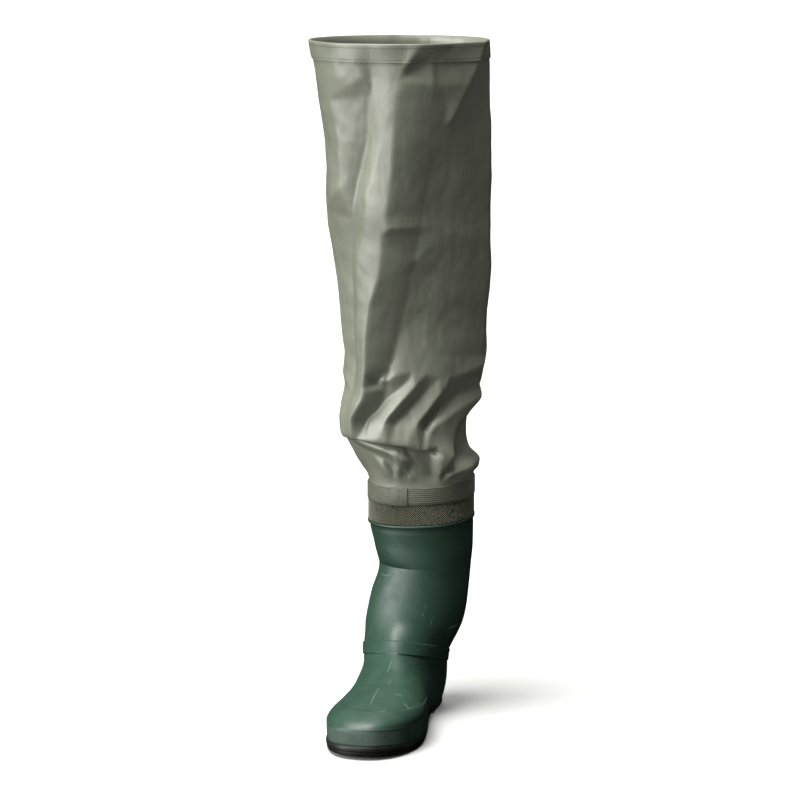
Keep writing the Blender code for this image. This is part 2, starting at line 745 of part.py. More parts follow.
def leg_ring(share):
    """Outer face of the cloth at a height above the tape, as a share of LEG_LENGTH."""
    places = column(LEG, 0)
    side, depth, inward, backward = (
        float(smooth(share, places, column(LEG, i))) * LEG_WIDTH for i in (1, 2, 3, 4)
    )
    turn = turns()
    lift = fold_lift(np.degrees(turn), np.full(COLUMNS, share))
    lift = lift * fade(share, FOLDS_FADE)
    tight = rim_point(0.0, 2 * GAP + COLLAR_HEIGHT + TAPE_HEIGHT + share * LEG_LENGTH)
    grip = 1 - float(fade(share, GRIP_FADE))
    x = inward + (side + lift) * np.sin(turn)
    y = backward - (depth + lift) * np.cos(turn)
    level = BOOT_HEIGHT + COLLAR_HEIGHT + TAPE_HEIGHT + 2 * GAP + share * LEG_LENGTH
    loose_ring = np.stack([x, y, np.full(COLUMNS, level)], axis=1)
    return tight * grip + loose_ring * (1 - grip)


def hem_foot():
    """Where the hem starts, as a share of LEG_LENGTH."""
    return 1 - HEM_HEIGHT / LEG_LENGTH


def make_leg(material, collection):
    outer = np.array([leg_ring(share) for share in LEG_RINGS + (hem_foot(), 1.0)])
    normals = grid_normals(outer)
    for ring in (0, 1, -2, -1):
        normals[ring] = flat_normals(outer[ring])
    inner = outer - CLOTH_WALL * normals
    ring_solid("leg", np.concatenate([outer, inner[::-1]]), material, collection)


def make_hem(material, collection):
    """A binding over the leg's upper edge, open below like an upturned channel."""
    low = leg_ring(hem_foot())
    high = leg_ring(1.0)
    out = GAP + HEM_WALL
    back = CLOTH_WALL + GAP

    def ring(base, lift, rise):
        moved = offset_ring(base, np.full(COLUMNS, lift))
        moved[:, 2] += rise
        return moved

    rings = [
        ring(low, out, 0),
        ring(high, out, GAP + HEM_WALL / 2),
        ring(high, GAP, GAP + HEM_WALL),
        ring(high, -back, GAP + HEM_WALL),
        ring(high, -back - HEM_WALL, GAP + HEM_WALL / 2),
        ring(low, -back - HEM_WALL, 0),
        ring(low, -back, 0),
        ring(high, -back, GAP),
        ring(high, GAP, GAP),
        ring(low, GAP, 0),
    ]
    ring_solid("top_hem", rings, material, collection)


def new_collection(name):
    collection = bpy.data.collections.new(name)
    bpy.context.scene.collection.children.link(collection)
    return collection


def main():
    for thing in list(bpy.data.objects):
        bpy.data.objects.remove(thing, do_unlink=True)
    parts = new_collection("chest_wader")
    cutters = new_collection("cutters")
    cutters.hide_render = True

    outer, inner = boot_skins()
    green = principled("green_pvc", GREEN, 0.42)
    ring_solid("boot_upper", np.concatenate([outer, inner[::-1]]), green, parts)
    plain_edge = ring_points(RINGS[0])
    seat = make_outsole(plain_edge, principled("black_rubber", BLACK, 0.6), parts, cutters)
    make_insole(seat, principled("footbed_foam", FOOTBED, 0.85), parts)
    make_collar(principled("dark_knurled_rubber", OLIVE_DARK, 0.6), parts)
    tape = principled("olive_tape", OLIVE_TAPE, 0.65)
    make_tape(tape, parts)
    make_lap(tape, parts)
    cloth = principled("coated_nylon", CLOTH, 0.4)
    make_leg(cloth, parts)
    make_hem(cloth, parts)


main()
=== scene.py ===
import math

import bmesh
import bpy
import numpy as np
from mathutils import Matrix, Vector
from mathutils.geometry import delaunay_2d_cdt


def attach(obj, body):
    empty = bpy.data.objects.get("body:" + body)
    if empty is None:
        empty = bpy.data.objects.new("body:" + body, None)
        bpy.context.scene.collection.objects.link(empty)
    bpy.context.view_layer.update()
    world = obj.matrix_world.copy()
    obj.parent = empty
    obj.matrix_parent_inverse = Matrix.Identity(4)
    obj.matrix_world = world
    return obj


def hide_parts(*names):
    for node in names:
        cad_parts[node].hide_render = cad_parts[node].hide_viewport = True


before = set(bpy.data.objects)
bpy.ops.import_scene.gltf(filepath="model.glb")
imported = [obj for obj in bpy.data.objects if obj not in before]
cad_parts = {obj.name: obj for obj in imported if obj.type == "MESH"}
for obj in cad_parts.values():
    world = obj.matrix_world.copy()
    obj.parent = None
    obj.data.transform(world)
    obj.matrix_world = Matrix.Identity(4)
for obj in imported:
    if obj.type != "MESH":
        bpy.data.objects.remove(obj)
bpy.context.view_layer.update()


# Small tools

def linearColour(hexText):
    values = [int(hexText[i:i + 2], 16) / 255 for i in (1, 3, 5)]
    return [v / 12.92 if v <= 0.04045 else ((v + 0.055) / 1.055) ** 2.4 for v in values] + [1.0]


def addNode(tree, kind, inputs=None, **settings):
    # an input is a value, a socket, or a node whose first output is meant
    node = tree.nodes.new(kind)
    for name, value in settings.items():
        setattr(node, name, value)
    for name, value in (inputs or {}).items():
        if isinstance(value, bpy.types.Node):
            value = value.outputs[0]
        if isinstance(value, bpy.types.NodeSocket):
            tree.links.new(value, node.inputs[name])
        else:
            node.inputs[name].default_value = value
    return node


def smooth(at, table, index):
    # a soft curve through one column of a table, flat beyond its ends
    places = np.array([row[0] for row in table], float)
    values = np.array([row[index] for row in table], float)
    steps = np.diff(places)
    slopes = np.diff(values) / steps
    tangents = np.concatenate([slopes[:1], (slopes[1:] + slopes[:-1]) / 2, slopes[-1:]])
    tangents[1:-1][slopes[1:] * slopes[:-1] <= 0] = 0
    limit = 3 * np.minimum(np.abs(slopes[1:]), np.abs(slopes[:-1]))
    tangents[1:-1] = np.clip(tangents[1:-1], -limit, limit)
    at = np.clip(np.asarray(at, float), places[0], places[-1])
    row = np.clip(np.searchsorted(places, at, side="right") - 1, 0, len(steps) - 1)
    t = (at - places[row]) / steps[row]
    return (values[row] * (1 + 2 * t) * (1 - t) ** 2
            + tangents[row] * steps[row] * t * (1 - t) ** 2
            + values[row + 1] * t ** 2 * (3 - 2 * t)
            + tangents[row + 1] * steps[row] * t ** 2 * (t - 1))


def ease(t):
    t = np.clip(t, 0, 1)
    return t * t * (3 - 2 * t)


def turnsOf(columns):
    # angles round the leg, 0 at the front and rising toward the inner side
    return np.arange(columns) * 2 * math.pi / columns


def fromFront(turns):
    # the same angles in degrees, from -180 to 180
    return (np.degrees(turns) + 180) % 360 - 180


def gridNormals(grid):
    around = np.roll(grid, -1, axis=1) - np.roll(grid, 1, axis=1)
    normals = np.cross(around, np.gradient(grid, axis=0))
    return normals / np.linalg.norm(normals, axis=2, keepdims=True)


def flatNormals(ring):
    around = np.roll(ring, -1, axis=0) - np.roll(ring, 1, axis=0)
    normals = np.stack([around[:, 1], -around[:, 0], np.zeros(len(ring))], axis=1)
    return normals / np.linalg.norm(normals, axis=1, keepdims=True)


def pushed(ring, distance, rise=0.0):
    moved = ring + np.asarray(distance).reshape(-1, 1) * flatNormals(ring)
    moved[:, 2] += rise
    return moved


def latticeNoise(rows, columns, cellsUp, cellsRound, seed):
    # soft noise from -1 to 1 on a grid that closes round the leg
    cells = np.random.default_rng(seed).uniform(-1, 1, (cellsUp + 2, cellsRound))
    up = np.linspace(0, cellsUp, rows)
    around = np.arange(columns) * cellsRound / columns
    row, col = up.astype(int), around.astype(int)
    tUp, tRound = ease(up - row)[:, None], ease(around - col)[None, :]
    nextCol = (col + 1) % cellsRound
    low = cells[row][:, col] * (1 - tRound) + cells[row][:, nextCol] * tRound
    high = cells[row + 1][:, col] * (1 - tRound) + cells[row + 1][:, nextCol] * tRound
    return low * (1 - tUp) + high * tUp


def softened(field, times):
    # a small blur of a grid that closes round the leg
    for _ in range(times):
        field = (np.roll(field, 1, 1) + 2 * field + np.roll(field, -1, 1)) / 4
        padded = np.concatenate([field[:1], field, field[-1:]])
        field = (padded[:-2] + 2 * field + padded[2:]) / 4
    return field


def gridUv(grid):
    # metres round from the front and metres up the surface, with a column more to close the loop
    closed = np.concatenate([grid, grid[:, :1]], axis=1)
    steps = np.linalg.norm(np.diff(closed, axis=1), axis=2)
    around = np.concatenate([np.zeros((len(grid), 1)), np.cumsum(steps, axis=1)], axis=1)
    climb = np.linalg.norm(np.diff(closed, axis=0), axis=2)
    up = np.concatenate([np.zeros((1, closed.shape[1])), np.cumsum(climb, axis=0)], axis=0)
    return np.stack([around, up], axis=2)


def gridFaces(rows, columns, closeUp):
    # quads between rings, and their corners in a grid that has one column more
    row = np.arange(rows if closeUp else rows - 1)[:, None]
    col = np.arange(columns)[None, :]
    above, right = (row + 1) % rows, (col + 1) % columns
    faces = np.stack([row * columns + col, row * columns + right,
                      above * columns + right, above * columns + col], axis=-1)
    wide = columns + 1
    corners = np.stack([row * wide + col, row * wide + col + 1,
                        above * wide + col + 1, above * wide + col], axis=-1)
    return faces.reshape(-1, 4), corners.reshape(-1, 4)


def newPiece(name, points, edges=(), faces=(), materials=(), turnedOut=False, sharpAngle=None):
    # flat without a sharp angle, and smooth all over with a sharp angle of 0
    mesh = bpy.data.meshes.new(name)
    mesh.from_pydata(np.asarray(points, float).reshape(-1, 3).tolist(), list(edges), list(faces))
    if turnedOut:
        tool = bmesh.new()
        tool.from_mesh(mesh)
        bmesh.ops.recalc_face_normals(tool, faces=tool.faces)
        tool.to_mesh(mesh)
        tool.free()
    for material in materials:
        mesh.materials.append(material)
    if sharpAngle is not None:
        mesh.shade_smooth()
    if sharpAngle:
        mesh.set_sharp_from_angle(angle=math.radians(sharpAngle))
    piece = bpy.data.objects.new(name, mesh)
    bpy.context.scene.collection.objects.link(piece)
    return piece


def shellPiece(name, rings, material, sharpAngle=0):
    # a closed band: rings go up the outside and come down the inside
    rings = np.asarray(rings)
    faces, corners = gridFaces(rings.shape[0], rings.shape[1], True)
    piece = newPiece(name, rings, (), faces.tolist(), [material], False, sharpAngle)
    layer = piece.data.uv_layers.new(name="surface")
    layer.data.foreach_set("uv", gridUv(rings).reshape(-1, 2)[corners.ravel()].astype(np.float32).ravel())
    return piece


def pathsPiece(name, paths, closed=False):
    # loose edges for the node trees that follow a path
    points, edges = [], []
    for path in paths:
        first, count = len(points), len(path)
        points += list(path)
        edges += [(first + i, first + (i + 1) % count) for i in range(count if closed else count - 1)]
    return newPiece(name, points, edges)


def joined(main, others):
    with bpy.context.temp_override(active_object=main, selected_editable_objects=[main] + others):
        bpy.ops.object.join()
    return main


def plainMesh(piece):
    # the evaluated shape as a mesh of its own, with the modifiers removed
    depsgraph = bpy.context.evaluated_depsgraph_get()
    mesh = bpy.data.meshes.new_from_object(piece.evaluated_get(depsgraph))
    piece.modifiers.clear()
    piece.data = mesh
    return piece


def runTree(piece, tree, values):
    modifier = piece.modifiers.new(tree.name, "NODES")
    modifier.node_group = tree
    for item in tree.interface.items_tree:
        if item.item_type == "SOCKET" and item.in_out == "INPUT" and item.name in values:
            modifier[item.identifier] = values[item.name]
    plainMesh(piece)
    piece.data.shade_smooth()
    return piece


# Node trees for what repeats

def newTree(name, inputs):
    tree = bpy.data.node_groups.new(name, "GeometryNodeTree")
    tree.is_modifier = True
    tree.interface.new_socket("Geometry", in_out="INPUT", socket_type="NodeSocketGeometry")
    for label, value in inputs.items():
        tree.interface.new_socket(label, in_out="INPUT", socket_type="NodeSocketFloat").default_value = value
    tree.interface.new_socket("Finish", in_out="INPUT", socket_type="NodeSocketMaterial")
    tree.interface.new_socket("Geometry", in_out="OUTPUT", socket_type="NodeSocketGeometry")
    return tree, addNode(tree, "NodeGroupInput").outputs


def endTree(tree, shapes, finish):
    real = addNode(tree, "GeometryNodeRealizeInstances", {0: shapes})
    done = addNode(tree, "GeometryNodeSetMaterial", {"Geometry": real, "Material": finish})
    addNode(tree, "NodeGroupOutput", {0: done})
    return tree


def stitchTree():
    # thread stitches at an even pitch along edges
    tree, given = newTree("stitches", {"Pitch": 0.003, "Stitch": 0.002, "Thread": 0.0005})
    path = addNode(tree, "GeometryNodeMeshToCurve", {0: given["Geometry"]})
    spaced = addNode(tree, "GeometryNodeResampleCurve", {"Curve": path, "Length": given["Pitch"]},
                     mode="LENGTH")
    tangent = addNode(tree, "GeometryNodeInputTangent")
    turned = addNode(tree, "FunctionNodeAlignRotationToVector", {"Vector": tangent}, axis="X")
    bead = addNode(tree, "GeometryNodeMeshUVSphere", {"Segments": 6, "Rings": 4, "Radius": 0.5})
    size = addNode(tree, "ShaderNodeCombineXYZ", {0: given["Stitch"], 1: given["Thread"], 2: given["Thread"]})
    copies = addNode(tree, "GeometryNodeInstanceOnPoints",
                     {"Points": spaced, "Instance": bead,
                      "Rotation": turned, "Scale": size})
    return endTree(tree, copies, given["Finish"])


def ribTree():
    # a round rib along each edge path
    tree, given = newTree("ribs", {"Radius": 0.0005})
    path = addNode(tree, "GeometryNodeMeshToCurve", {0: given["Geometry"]})
    ring = addNode(tree, "GeometryNodeCurvePrimitiveCircle", {"Resolution": 6, "Radius": given["Radius"]})
    rib = addNode(tree, "GeometryNodeCurveToMesh",
                  {"Curve": path, "Profile Curve": ring, "Fill Caps": True})
    return endTree(tree, rib, given["Finish"])


def knurlTree():
    # a four-sided point on each place, set square to the surface with its corners up and across
    tree, given = newTree("knurl", {"Radius": 0.0012, "Height": 0.0006})
    outward = addNode(tree, "GeometryNodeInputNamedAttribute", {"Name": "outward"}, data_type="FLOAT_VECTOR")
    facing = addNode(tree, "FunctionNodeAlignRotationToVector", {"Vector": outward}, axis="Z")
    upright = addNode(tree, "FunctionNodeAlignRotationToVector",
                      {"Rotation": facing, "Vector": (0, 0, 1)}, axis="Y", pivot_axis="Z")
    point = addNode(tree, "GeometryNodeMeshCone",
                    {"Vertices": 4, "Radius Top": 0.0, "Radius Bottom": given["Radius"],
                     "Depth": given["Height"]}, fill_type="NONE")
    position = addNode(tree, "GeometryNodeInputPosition")
    above = addNode(tree, "ShaderNodeSeparateXYZ", {0: position}).outputs[2]
    share = addNode(tree, "ShaderNodeMath", {0: above, 1: given["Height"]}, operation="DIVIDE")
    tipped = addNode(tree, "GeometryNodeStoreNamedAttribute",
                     {"Geometry": point, "Name": "tip", "Value": share},
                     data_type="FLOAT", domain="POINT")
    copies = addNode(tree, "GeometryNodeInstanceOnPoints",
                     {"Points": given["Geometry"], "Instance": tipped,
                      "Rotation": upright})
    return endTree(tree, copies, given["Finish"])


# Materials. A mottle is its scale, detail, stretch along the axes and roughness. A span is where the
# mottle's value starts and ends the change of colour, and the most of the second colour. A relief is
# its depth in metres and its strength.

def mottle(tree, place, scale, detail, stretch=(1, 1, 1), roughness=0.5):
    moved = addNode(tree, "ShaderNodeMapping", {"Vector": place, "Scale": stretch})
    return addNode(tree, "ShaderNodeTexNoise", {"Vector": moved, "Scale": scale, "Detail": detail,
                                                "Roughness": roughness})


def mixedAlong(tree, pattern, span, first, second):
    # the first colour passes into the second where the pattern rises; each is a socket or sRGB hex
    low, high, most = span
    first, second = (linearColour(c) if isinstance(c, str) else c for c in (first, second))
    share = addNode(tree, "ShaderNodeMapRange", {0: pattern, 1: low, 2: high, 3: 0.0, 4: most})
    return addNode(tree, "ShaderNodeMix", {0: share, 6: first, 7: second}, data_type="RGBA").outputs[2]


def raised(tree, shader, layers):
    # layers of relief, one on another
    normal = None
    for height, (depth, strength) in layers:
        inputs = {"Height": height, "Distance": depth, "Strength": strength}
        if normal:
            inputs["Normal"] = normal
        normal = addNode(tree, "ShaderNodeBump", inputs)
    tree.links.new(normal.outputs[0], shader.inputs["Normal"])


def roughened(tree, shader, pattern, span):
    # the middle of the pattern's values, where most of them lie, runs through the roughness given
    low, high = span
    rough = addNode(tree, "ShaderNodeMapRange", {0: pattern, 1: 0.3, 2: 0.7, 3: low, 4: high})
    tree.links.new(rough.outputs[0], shader.inputs["Roughness"])


def newMaterial(name, look):
    # one mottle on the object's own coordinates carries the two colours, and the relief of the plain ones
    material = bpy.data.materials.new(name)
    material.use_nodes = True
    tree = material.node_tree
    shader = tree.nodes["Principled BSDF"]
    shader.inputs["Base Color"].default_value = linearColour(look["colour"])
    shader.inputs["Roughness"].default_value = look["roughness"]
    shader.inputs["Specular IOR Level"].default_value = look["specular"]
    shader.inputs["Sheen Weight"].default_value = look.get("sheen", 0.0)
    place = addNode(tree, "ShaderNodeTexCoord").outputs["Object"]
    grain = mottle(tree, place, *look["mottle"])
    if "second" in look:
        mixed = mixedAlong(tree, grain, look["span"], look["colour"], look["second"])
        tree.links.new(mixed, shader.inputs["Base Color"])
    if "relief" in look:
        raised(tree, shader, [(grain, look["relief"])])
    return material, tree, shader, place, grain


# injection-moulded PVC: satin, with a broad highlight, faint clouds, fine scuffs and a painted highlight
# along the shaft's crease
pvcLook = {
    "colour": "#1e382a",
    "second": "#2f463a",
    # a pale colour for scuffs, worn studs and the painted highlight along the shaft's crease
    "paleScuffAndHighlight": "#8fa294",
    "roughness": 0.46,
    "specular": 0.5,
    "mottle": (14.0, 4.0),
    "span": (0.35, 0.75, 0.35),
    "scratches": (420.0, 2.0, (1.0, 0.06, 1.0), 0.6),
    "scratchSpan": (0.70, 0.80, 0.35),
    "strokeWidth": 0.0007,
    "strokeShare": 0.22,
    "studPitch": 0.0015,
    "studSize": (0.15, 0.50),
    "studTop": 0.0185,
    "studReach": (0.074, 0.655),  # round the toe: up to the first place, and again from the second
    "studFade": (0.020, 0.003),  # round the toe, and upward
    "studWear": 0.30,
    "studRelief": (0.0005, 1.0),
    "grease": (60.0, 5.0),
    "greaseSpan": (0.42, 0.56),
    "waves": (35.0, 2.0),
    "waveRelief": (0.0012, 0.20),
    "skin": (900.0, 2.0),
    "skinRelief": (0.0002, 0.25),
}
# mould line over the vamp, a painted highlight along the shaft's crease, and scuffs: from and to, in metres
# on the UV map
pvcStrokes = (
    ((0.0087, 0.1725), (0.0094, 0.1527)), ((0.0105, 0.1151), (0.0110, 0.0709)),
    ((0.0503, 0.0640), (0.0628, 0.0485)), ((0.0628, 0.0485), (0.0884, 0.0532)),
    ((0.0335, 0.0949), (0.0429, 0.0863)), ((0.0180, 0.0550), (0.0340, 0.0500)),
    # the last stroke here is a painted highlight along the shaft's crease
    ((0.0682, 0.2166), (0.0860, 0.1760)), ((0.3147, 0.2818), (0.3330, 0.2900)),
)


def strokeMask(tree, uv, start, end):
    # 1 on a short line between two places of the UV map, 0 beside it
    line = Vector((end[0] - start[0], end[1] - start[1], 0))
    away = addNode(tree, "ShaderNodeVectorMath", {0: uv, 1: (*start, 0)}, operation="SUBTRACT")
    along = addNode(tree, "ShaderNodeVectorMath", {0: away, 1: line / line.length_squared},
                    operation="DOT_PRODUCT").outputs["Value"]
    share = addNode(tree, "ShaderNodeClamp", {"Value": along})
    near = addNode(tree, "ShaderNodeVectorMath", {0: line, "Scale": share}, operation="SCALE")
    off = addNode(tree, "ShaderNodeVectorMath", {0: away, 1: near}, operation="DISTANCE").outputs["Value"]
    square = addNode(tree, "ShaderNodeMath", {0: off, 1: off}, operation="MULTIPLY")
    return addNode(tree, "ShaderNodeMapRange",
                   {0: square, 1: 0.0, 2: pvcLook["strokeWidth"] ** 2, 3: 1.0, 4: 0.0})


def mouldedPvc():
    look = pvcLook
    material, tree, shader, place, _ = newMaterial("satinMouldedPvc", look)
    cloudy = shader.inputs["Base Color"].links[0].from_socket
    uv = addNode(tree, "ShaderNodeUVMap", uv_map="surface")
    scratches = mottle(tree, uv, *look["scratches"])
    colour = mixedAlong(tree, scratches, look["scratchSpan"], cloudy, look["paleScuffAndHighlight"])
    strokes = 0.0
    for start, end in pvcStrokes:
        strokes = addNode(tree, "ShaderNodeMath", {0: strokeMask(tree, uv, start, end), 1: strokes},
                          operation="MAXIMUM")
    # the strokes in the pale colour: mould line, scuffs, and a painted highlight along the shaft's crease
    colour = mixedAlong(tree, strokes, (0.0, 1.0, look["strokeShare"]), colour, look["paleScuffAndHighlight"])
    # rows of small studs on the toe's bumper, which fade out beside it
    leaning = addNode(tree, "ShaderNodeMapping", {"Vector": uv, "Rotation": (0, 0, math.pi / 4)})
    cells = addNode(tree, "ShaderNodeTexVoronoi",
                    {"Vector": leaning, "Scale": 1 / look["studPitch"], "Randomness": 0.0}, feature="F1")
    across, up = addNode(tree, "ShaderNodeSeparateXYZ", {"Vector": uv}).outputs[:2]
    near, far = look["studReach"]
    fadeRound, fadeUp = look["studFade"]
    fades = ((across, near - fadeRound, near, 1.0, 0.0), (across, far, far + fadeRound, 0.0, 1.0),
             (up, look["studTop"] - fadeUp, look["studTop"], 1.0, 0.0),
             (cells, *look["studSize"], 1.0, 0.0))
    first, last, low, dots = (addNode(tree, "ShaderNodeMapRange", dict(enumerate(fade)))
                              for fade in fades)
    sides = addNode(tree, "ShaderNodeMath", {0: first, 1: last}, operation="MAXIMUM")
    onToe = addNode(tree, "ShaderNodeMath", {0: sides, 1: low}, operation="MULTIPLY")
    studs = addNode(tree, "ShaderNodeMath", {0: dots, 1: onToe}, operation="MULTIPLY")
    colour = mixedAlong(tree, studs, (0.0, 1.0, look["studWear"]), colour, look["paleScuffAndHighlight"])
    tree.links.new(colour, shader.inputs["Base Color"])
    roughened(tree, shader, mottle(tree, place, *look["grease"]), look["greaseSpan"])
    raised(tree, shader, [(mottle(tree, place, *look["waves"]), look["waveRelief"]),
                          (mottle(tree, place, *look["skin"]), look["skinRelief"]),
                          (studs, look["studRelief"])])
    return material


# nylon cloth with a smooth waterproof coat: semi-gloss, a faint weave and many fine handling creases
clothLook = {
    "colour": "#6c6f61",
    "second": "#7a7d6e",
    "roughness": 0.42,
    "specular": 0.6,
    "mottle": (16.0, 4.0, (1, 1, 0.5)),
    "span": (0.35, 0.7, 0.5),
    "roughSpan": (0.36, 0.46),
    "ripples": (42.0, 3.0, (1, 1, 0.35)),
    "rippleRelief": (0.004, 0.38),
    "crumpleScale": 38.0,
    "crumpleRelief": (0.0014, 0.20),
    "threadPitch": 0.0011,  # about three times the real one, so that it shows
    "weaveRelief": (0.00006, 0.25),
}


def coatedNylon():
    look = clothLook
    material, tree, shader, place, patches = newMaterial("semiGlossCoatedNylon", look)
    roughened(tree, shader, patches, look["roughSpan"])
    uv = addNode(tree, "ShaderNodeUVMap", uv_map="surface")
    scale = 0.314 / look["threadPitch"]  # a wave texture's bands lie 0.314 apart at scale 1
    weft, warp = (addNode(tree, "ShaderNodeTexWave", {"Vector": uv, "Scale": scale}, bands_direction=way)
                  for way in "XY")
    weave = addNode(tree, "ShaderNodeMath", {0: weft.outputs[1], 1: warp.outputs[1]}, operation="MAXIMUM")
    crumple = addNode(tree, "ShaderNodeTexVoronoi", {"Vector": place, "Scale": look["crumpleScale"]},
                      feature="F1")
    raised(tree, shader, [(mottle(tree, place, *look["ripples"]), look["rippleRelief"]),
                          (crumple, look["crumpleRelief"]),
                          (weave, look["weaveRelief"])])
    return material


# moulded rubber with small pyramids: matt, with pale worn points
knurlLook = {
    "colour": "#26271b",
    "second": "#37382b",
    "worn": "#8b8c76",
    "roughness": 0.55,
    "specular": 0.4,
    "mottle": (120.0, 4.0),
    "span": (0.4, 0.7, 0.6),
    "tipSpan": (0.35, 0.85, 1.0),
    "relief": (0.0003, 0.3),
}


def knurledRubber():
    material, tree, shader, _, _ = newMaterial("mattKnurledRubber", knurlLook)
    colour = shader.inputs["Base Color"].links[0].from_socket
    tip = addNode(tree, "ShaderNodeAttribute", attribute_name="tip").outputs["Fac"]
    worn = mixedAlong(tree, tip, knurlLook["tipSpan"], colour, knurlLook["worn"])
    tree.links.new(worn, shader.inputs["Base Color"])
    return material


# moulded black rubber: matt, with dust in its grain
treadLook = {
    "colour": "#14150f",
    "second": "#2e2e24",
    "roughness": 0.55,
    "specular": 0.4,
    "mottle": (45.0, 5.0),
    "span": (0.45, 0.8, 0.5),
    "roughSpan": (0.45, 0.65),
    "grain": (1100.0, 2.0),
    "grainRelief": (0.0002, 0.3),
}


def treadRubber():
    look = treadLook
    material, tree, shader, place, dust = newMaterial("mattTreadRubber", look)
    roughened(tree, shader, dust, look["roughSpan"])
    raised(tree, shader, [(mottle(tree, place, *look["grain"]), look["grainRelief"])])
    return material


# polyester webbing: dull, with a fine cross weave between its ribs
webbingLook = {
    "colour": "#4c4f40",
    "second": "#66695a",
    "roughness": 0.6,
    "specular": 0.35,
    "sheen": 0.1,
    "mottle": (500.0, 3.0, (1, 1, 3)),
    "span": (0.35, 0.7, 0.7),
    "relief": (0.0004, 0.5),
}
# needled felt on foam: no gloss, with short fibres
feltLook = {
    "colour": "#3e4037",
    "second": "#62645a",
    "roughness": 0.95,
    "specular": 0.2,
    "sheen": 0.3,
    "mottle": (700.0, 4.0, (1, 0.3, 1)),
    "span": (0.0, 1.0, 1.0),
    "relief": (0.0006, 0.6),
}
# twisted polyester thread: slightly glossy
threadLook = {
    "colour": "#33352a",
    "roughness": 0.5,
    "specular": 0.5,
    "mottle": (2500.0, 1.0),
    "relief": (0.0001, 0.4),
}


# The boot's form: a foot and a shaft, blended, with the same sizes as the solids

form = {
    "footLength": 0.310,
    "heelReach": 0.042,
    "ballWidth": 0.118,
    "instepHeight": 0.098,
    "bootHeight": 0.232,
    "shaftWidth": 0.123,
    "shaftDepth": 0.129,
    "widest": 0.032,
    "heelRound": 0.125,
    "toeRound": 0.310,
    "endPower": 2.15,
    "shaftPower": 2.15,
    "heelTuck": 0.23,
    "toeTuck": 0.035,
    "blend": 0.022,
    "rimRoll": 0.035,
    "toeEdge": 0.0115,
    "heelEdge": 0.0060,
    "deckHeight": 0.0190,
    "archRise": 0.0115,
    "toeSpring": 0.0045,
    "gap": 0.0003,
}
footRows = (
    # along, centre, half, lean, crest, square
    (0.00, -0.016, 0.306, 0.00, 0.72, 2.2),
    (0.14, -0.016, 0.306, 0.00, 0.78, 2.2),
    (0.30, -0.028, 0.346, 0.00, 0.95, 2.0),
    (0.42, -0.026, 0.382, 0.02, 0.98, 1.8),
    (0.50, -0.006, 0.405, 0.07, 0.90, 1.7),
    (0.60, 0.016, 0.440, 0.13, 0.755, 1.7),
    (0.70, 0.036, 0.462, 0.14, 0.660, 1.85),
    (0.80, 0.054, 0.465, 0.10, 0.605, 2.05),
    (0.90, 0.062, 0.460, 0.05, 0.565, 2.25),
    (1.00, 0.060, 0.450, 0.02, 0.530, 2.4),
)
shaftRows = (
    # height, inner, outer, front, back
    (0.00, 0.180, 0.180, 0.40, 0.240),
    (0.13, 0.215, 0.270, 0.46, 0.290),
    (0.25, 0.290, 0.385, 0.54, 0.325),
    (0.36, 0.405, 0.440, 0.59, 0.342),
    (0.45, 0.485, 0.440, 0.58, 0.352),
    (0.52, 0.515, 0.425, 0.56, 0.364),
    (0.62, 0.532, 0.390, 0.525, 0.388),
    (0.74, 0.545, 0.330, 0.495, 0.420),
    (0.86, 0.562, 0.375, 0.495, 0.445),
    (1.00, 0.562, 0.432, 0.515, 0.480),
    (1.20, 0.560, 0.440, 0.515, 0.485),
)
edgeRows = (
    # along, grown, arch
    (0.00, 0.00, 0.00),
    (0.20, 0.00, 0.00),
    (0.28, 0.00, 0.45),
    (0.36, 0.00, 0.95),
    (0.46, 0.05, 0.75),
    (0.58, 0.30, 0.15),
    (0.70, 0.60, 0.00),
    (0.80, 0.88, 0.00),
    (0.90, 1.00, 0.00),
    (1.00, 1.00, 0.00),
)
walkingRows = ((0.00, 0.04), (0.03, 0.00), (0.72, 0.00), (0.80, 0.08), (0.90, 0.42), (1.00, 1.00))
deckRows = ((0.00, 1.00), (0.25, 1.00), (0.45, 0.95), (0.62, 0.76), (0.78, 0.76), (0.90, 0.86), (1.00, 0.94))


def alongFoot(y):
    return (form["heelReach"] - y) / form["footLength"]


def footY(along):
    return form["heelReach"] - along * form["footLength"]


def walkingHeight(y):
    return smooth(alongFoot(y), walkingRows, 1) * form["toeSpring"]


def edgeHeight(y):
    grown = smooth(alongFoot(y), edgeRows, 1)
    edge = form["heelEdge"] + (form["toeEdge"] - form["heelEdge"]) * grown
    return walkingHeight(y) + edge + smooth(alongFoot(y), edgeRows, 2) * form["archRise"]


def deckHeight(y):
    return walkingHeight(y) + smooth(alongFoot(y), deckRows, 1) * form["deckHeight"]


def shaftSides(z):
    at = z / form["bootHeight"]
    inner, outer = (smooth(at, shaftRows, i) * form["shaftWidth"] for i in (1, 2))
    front, back = (smooth(at, shaftRows, i) * form["shaftDepth"] for i in (3, 4))
    return inner, outer, front, back


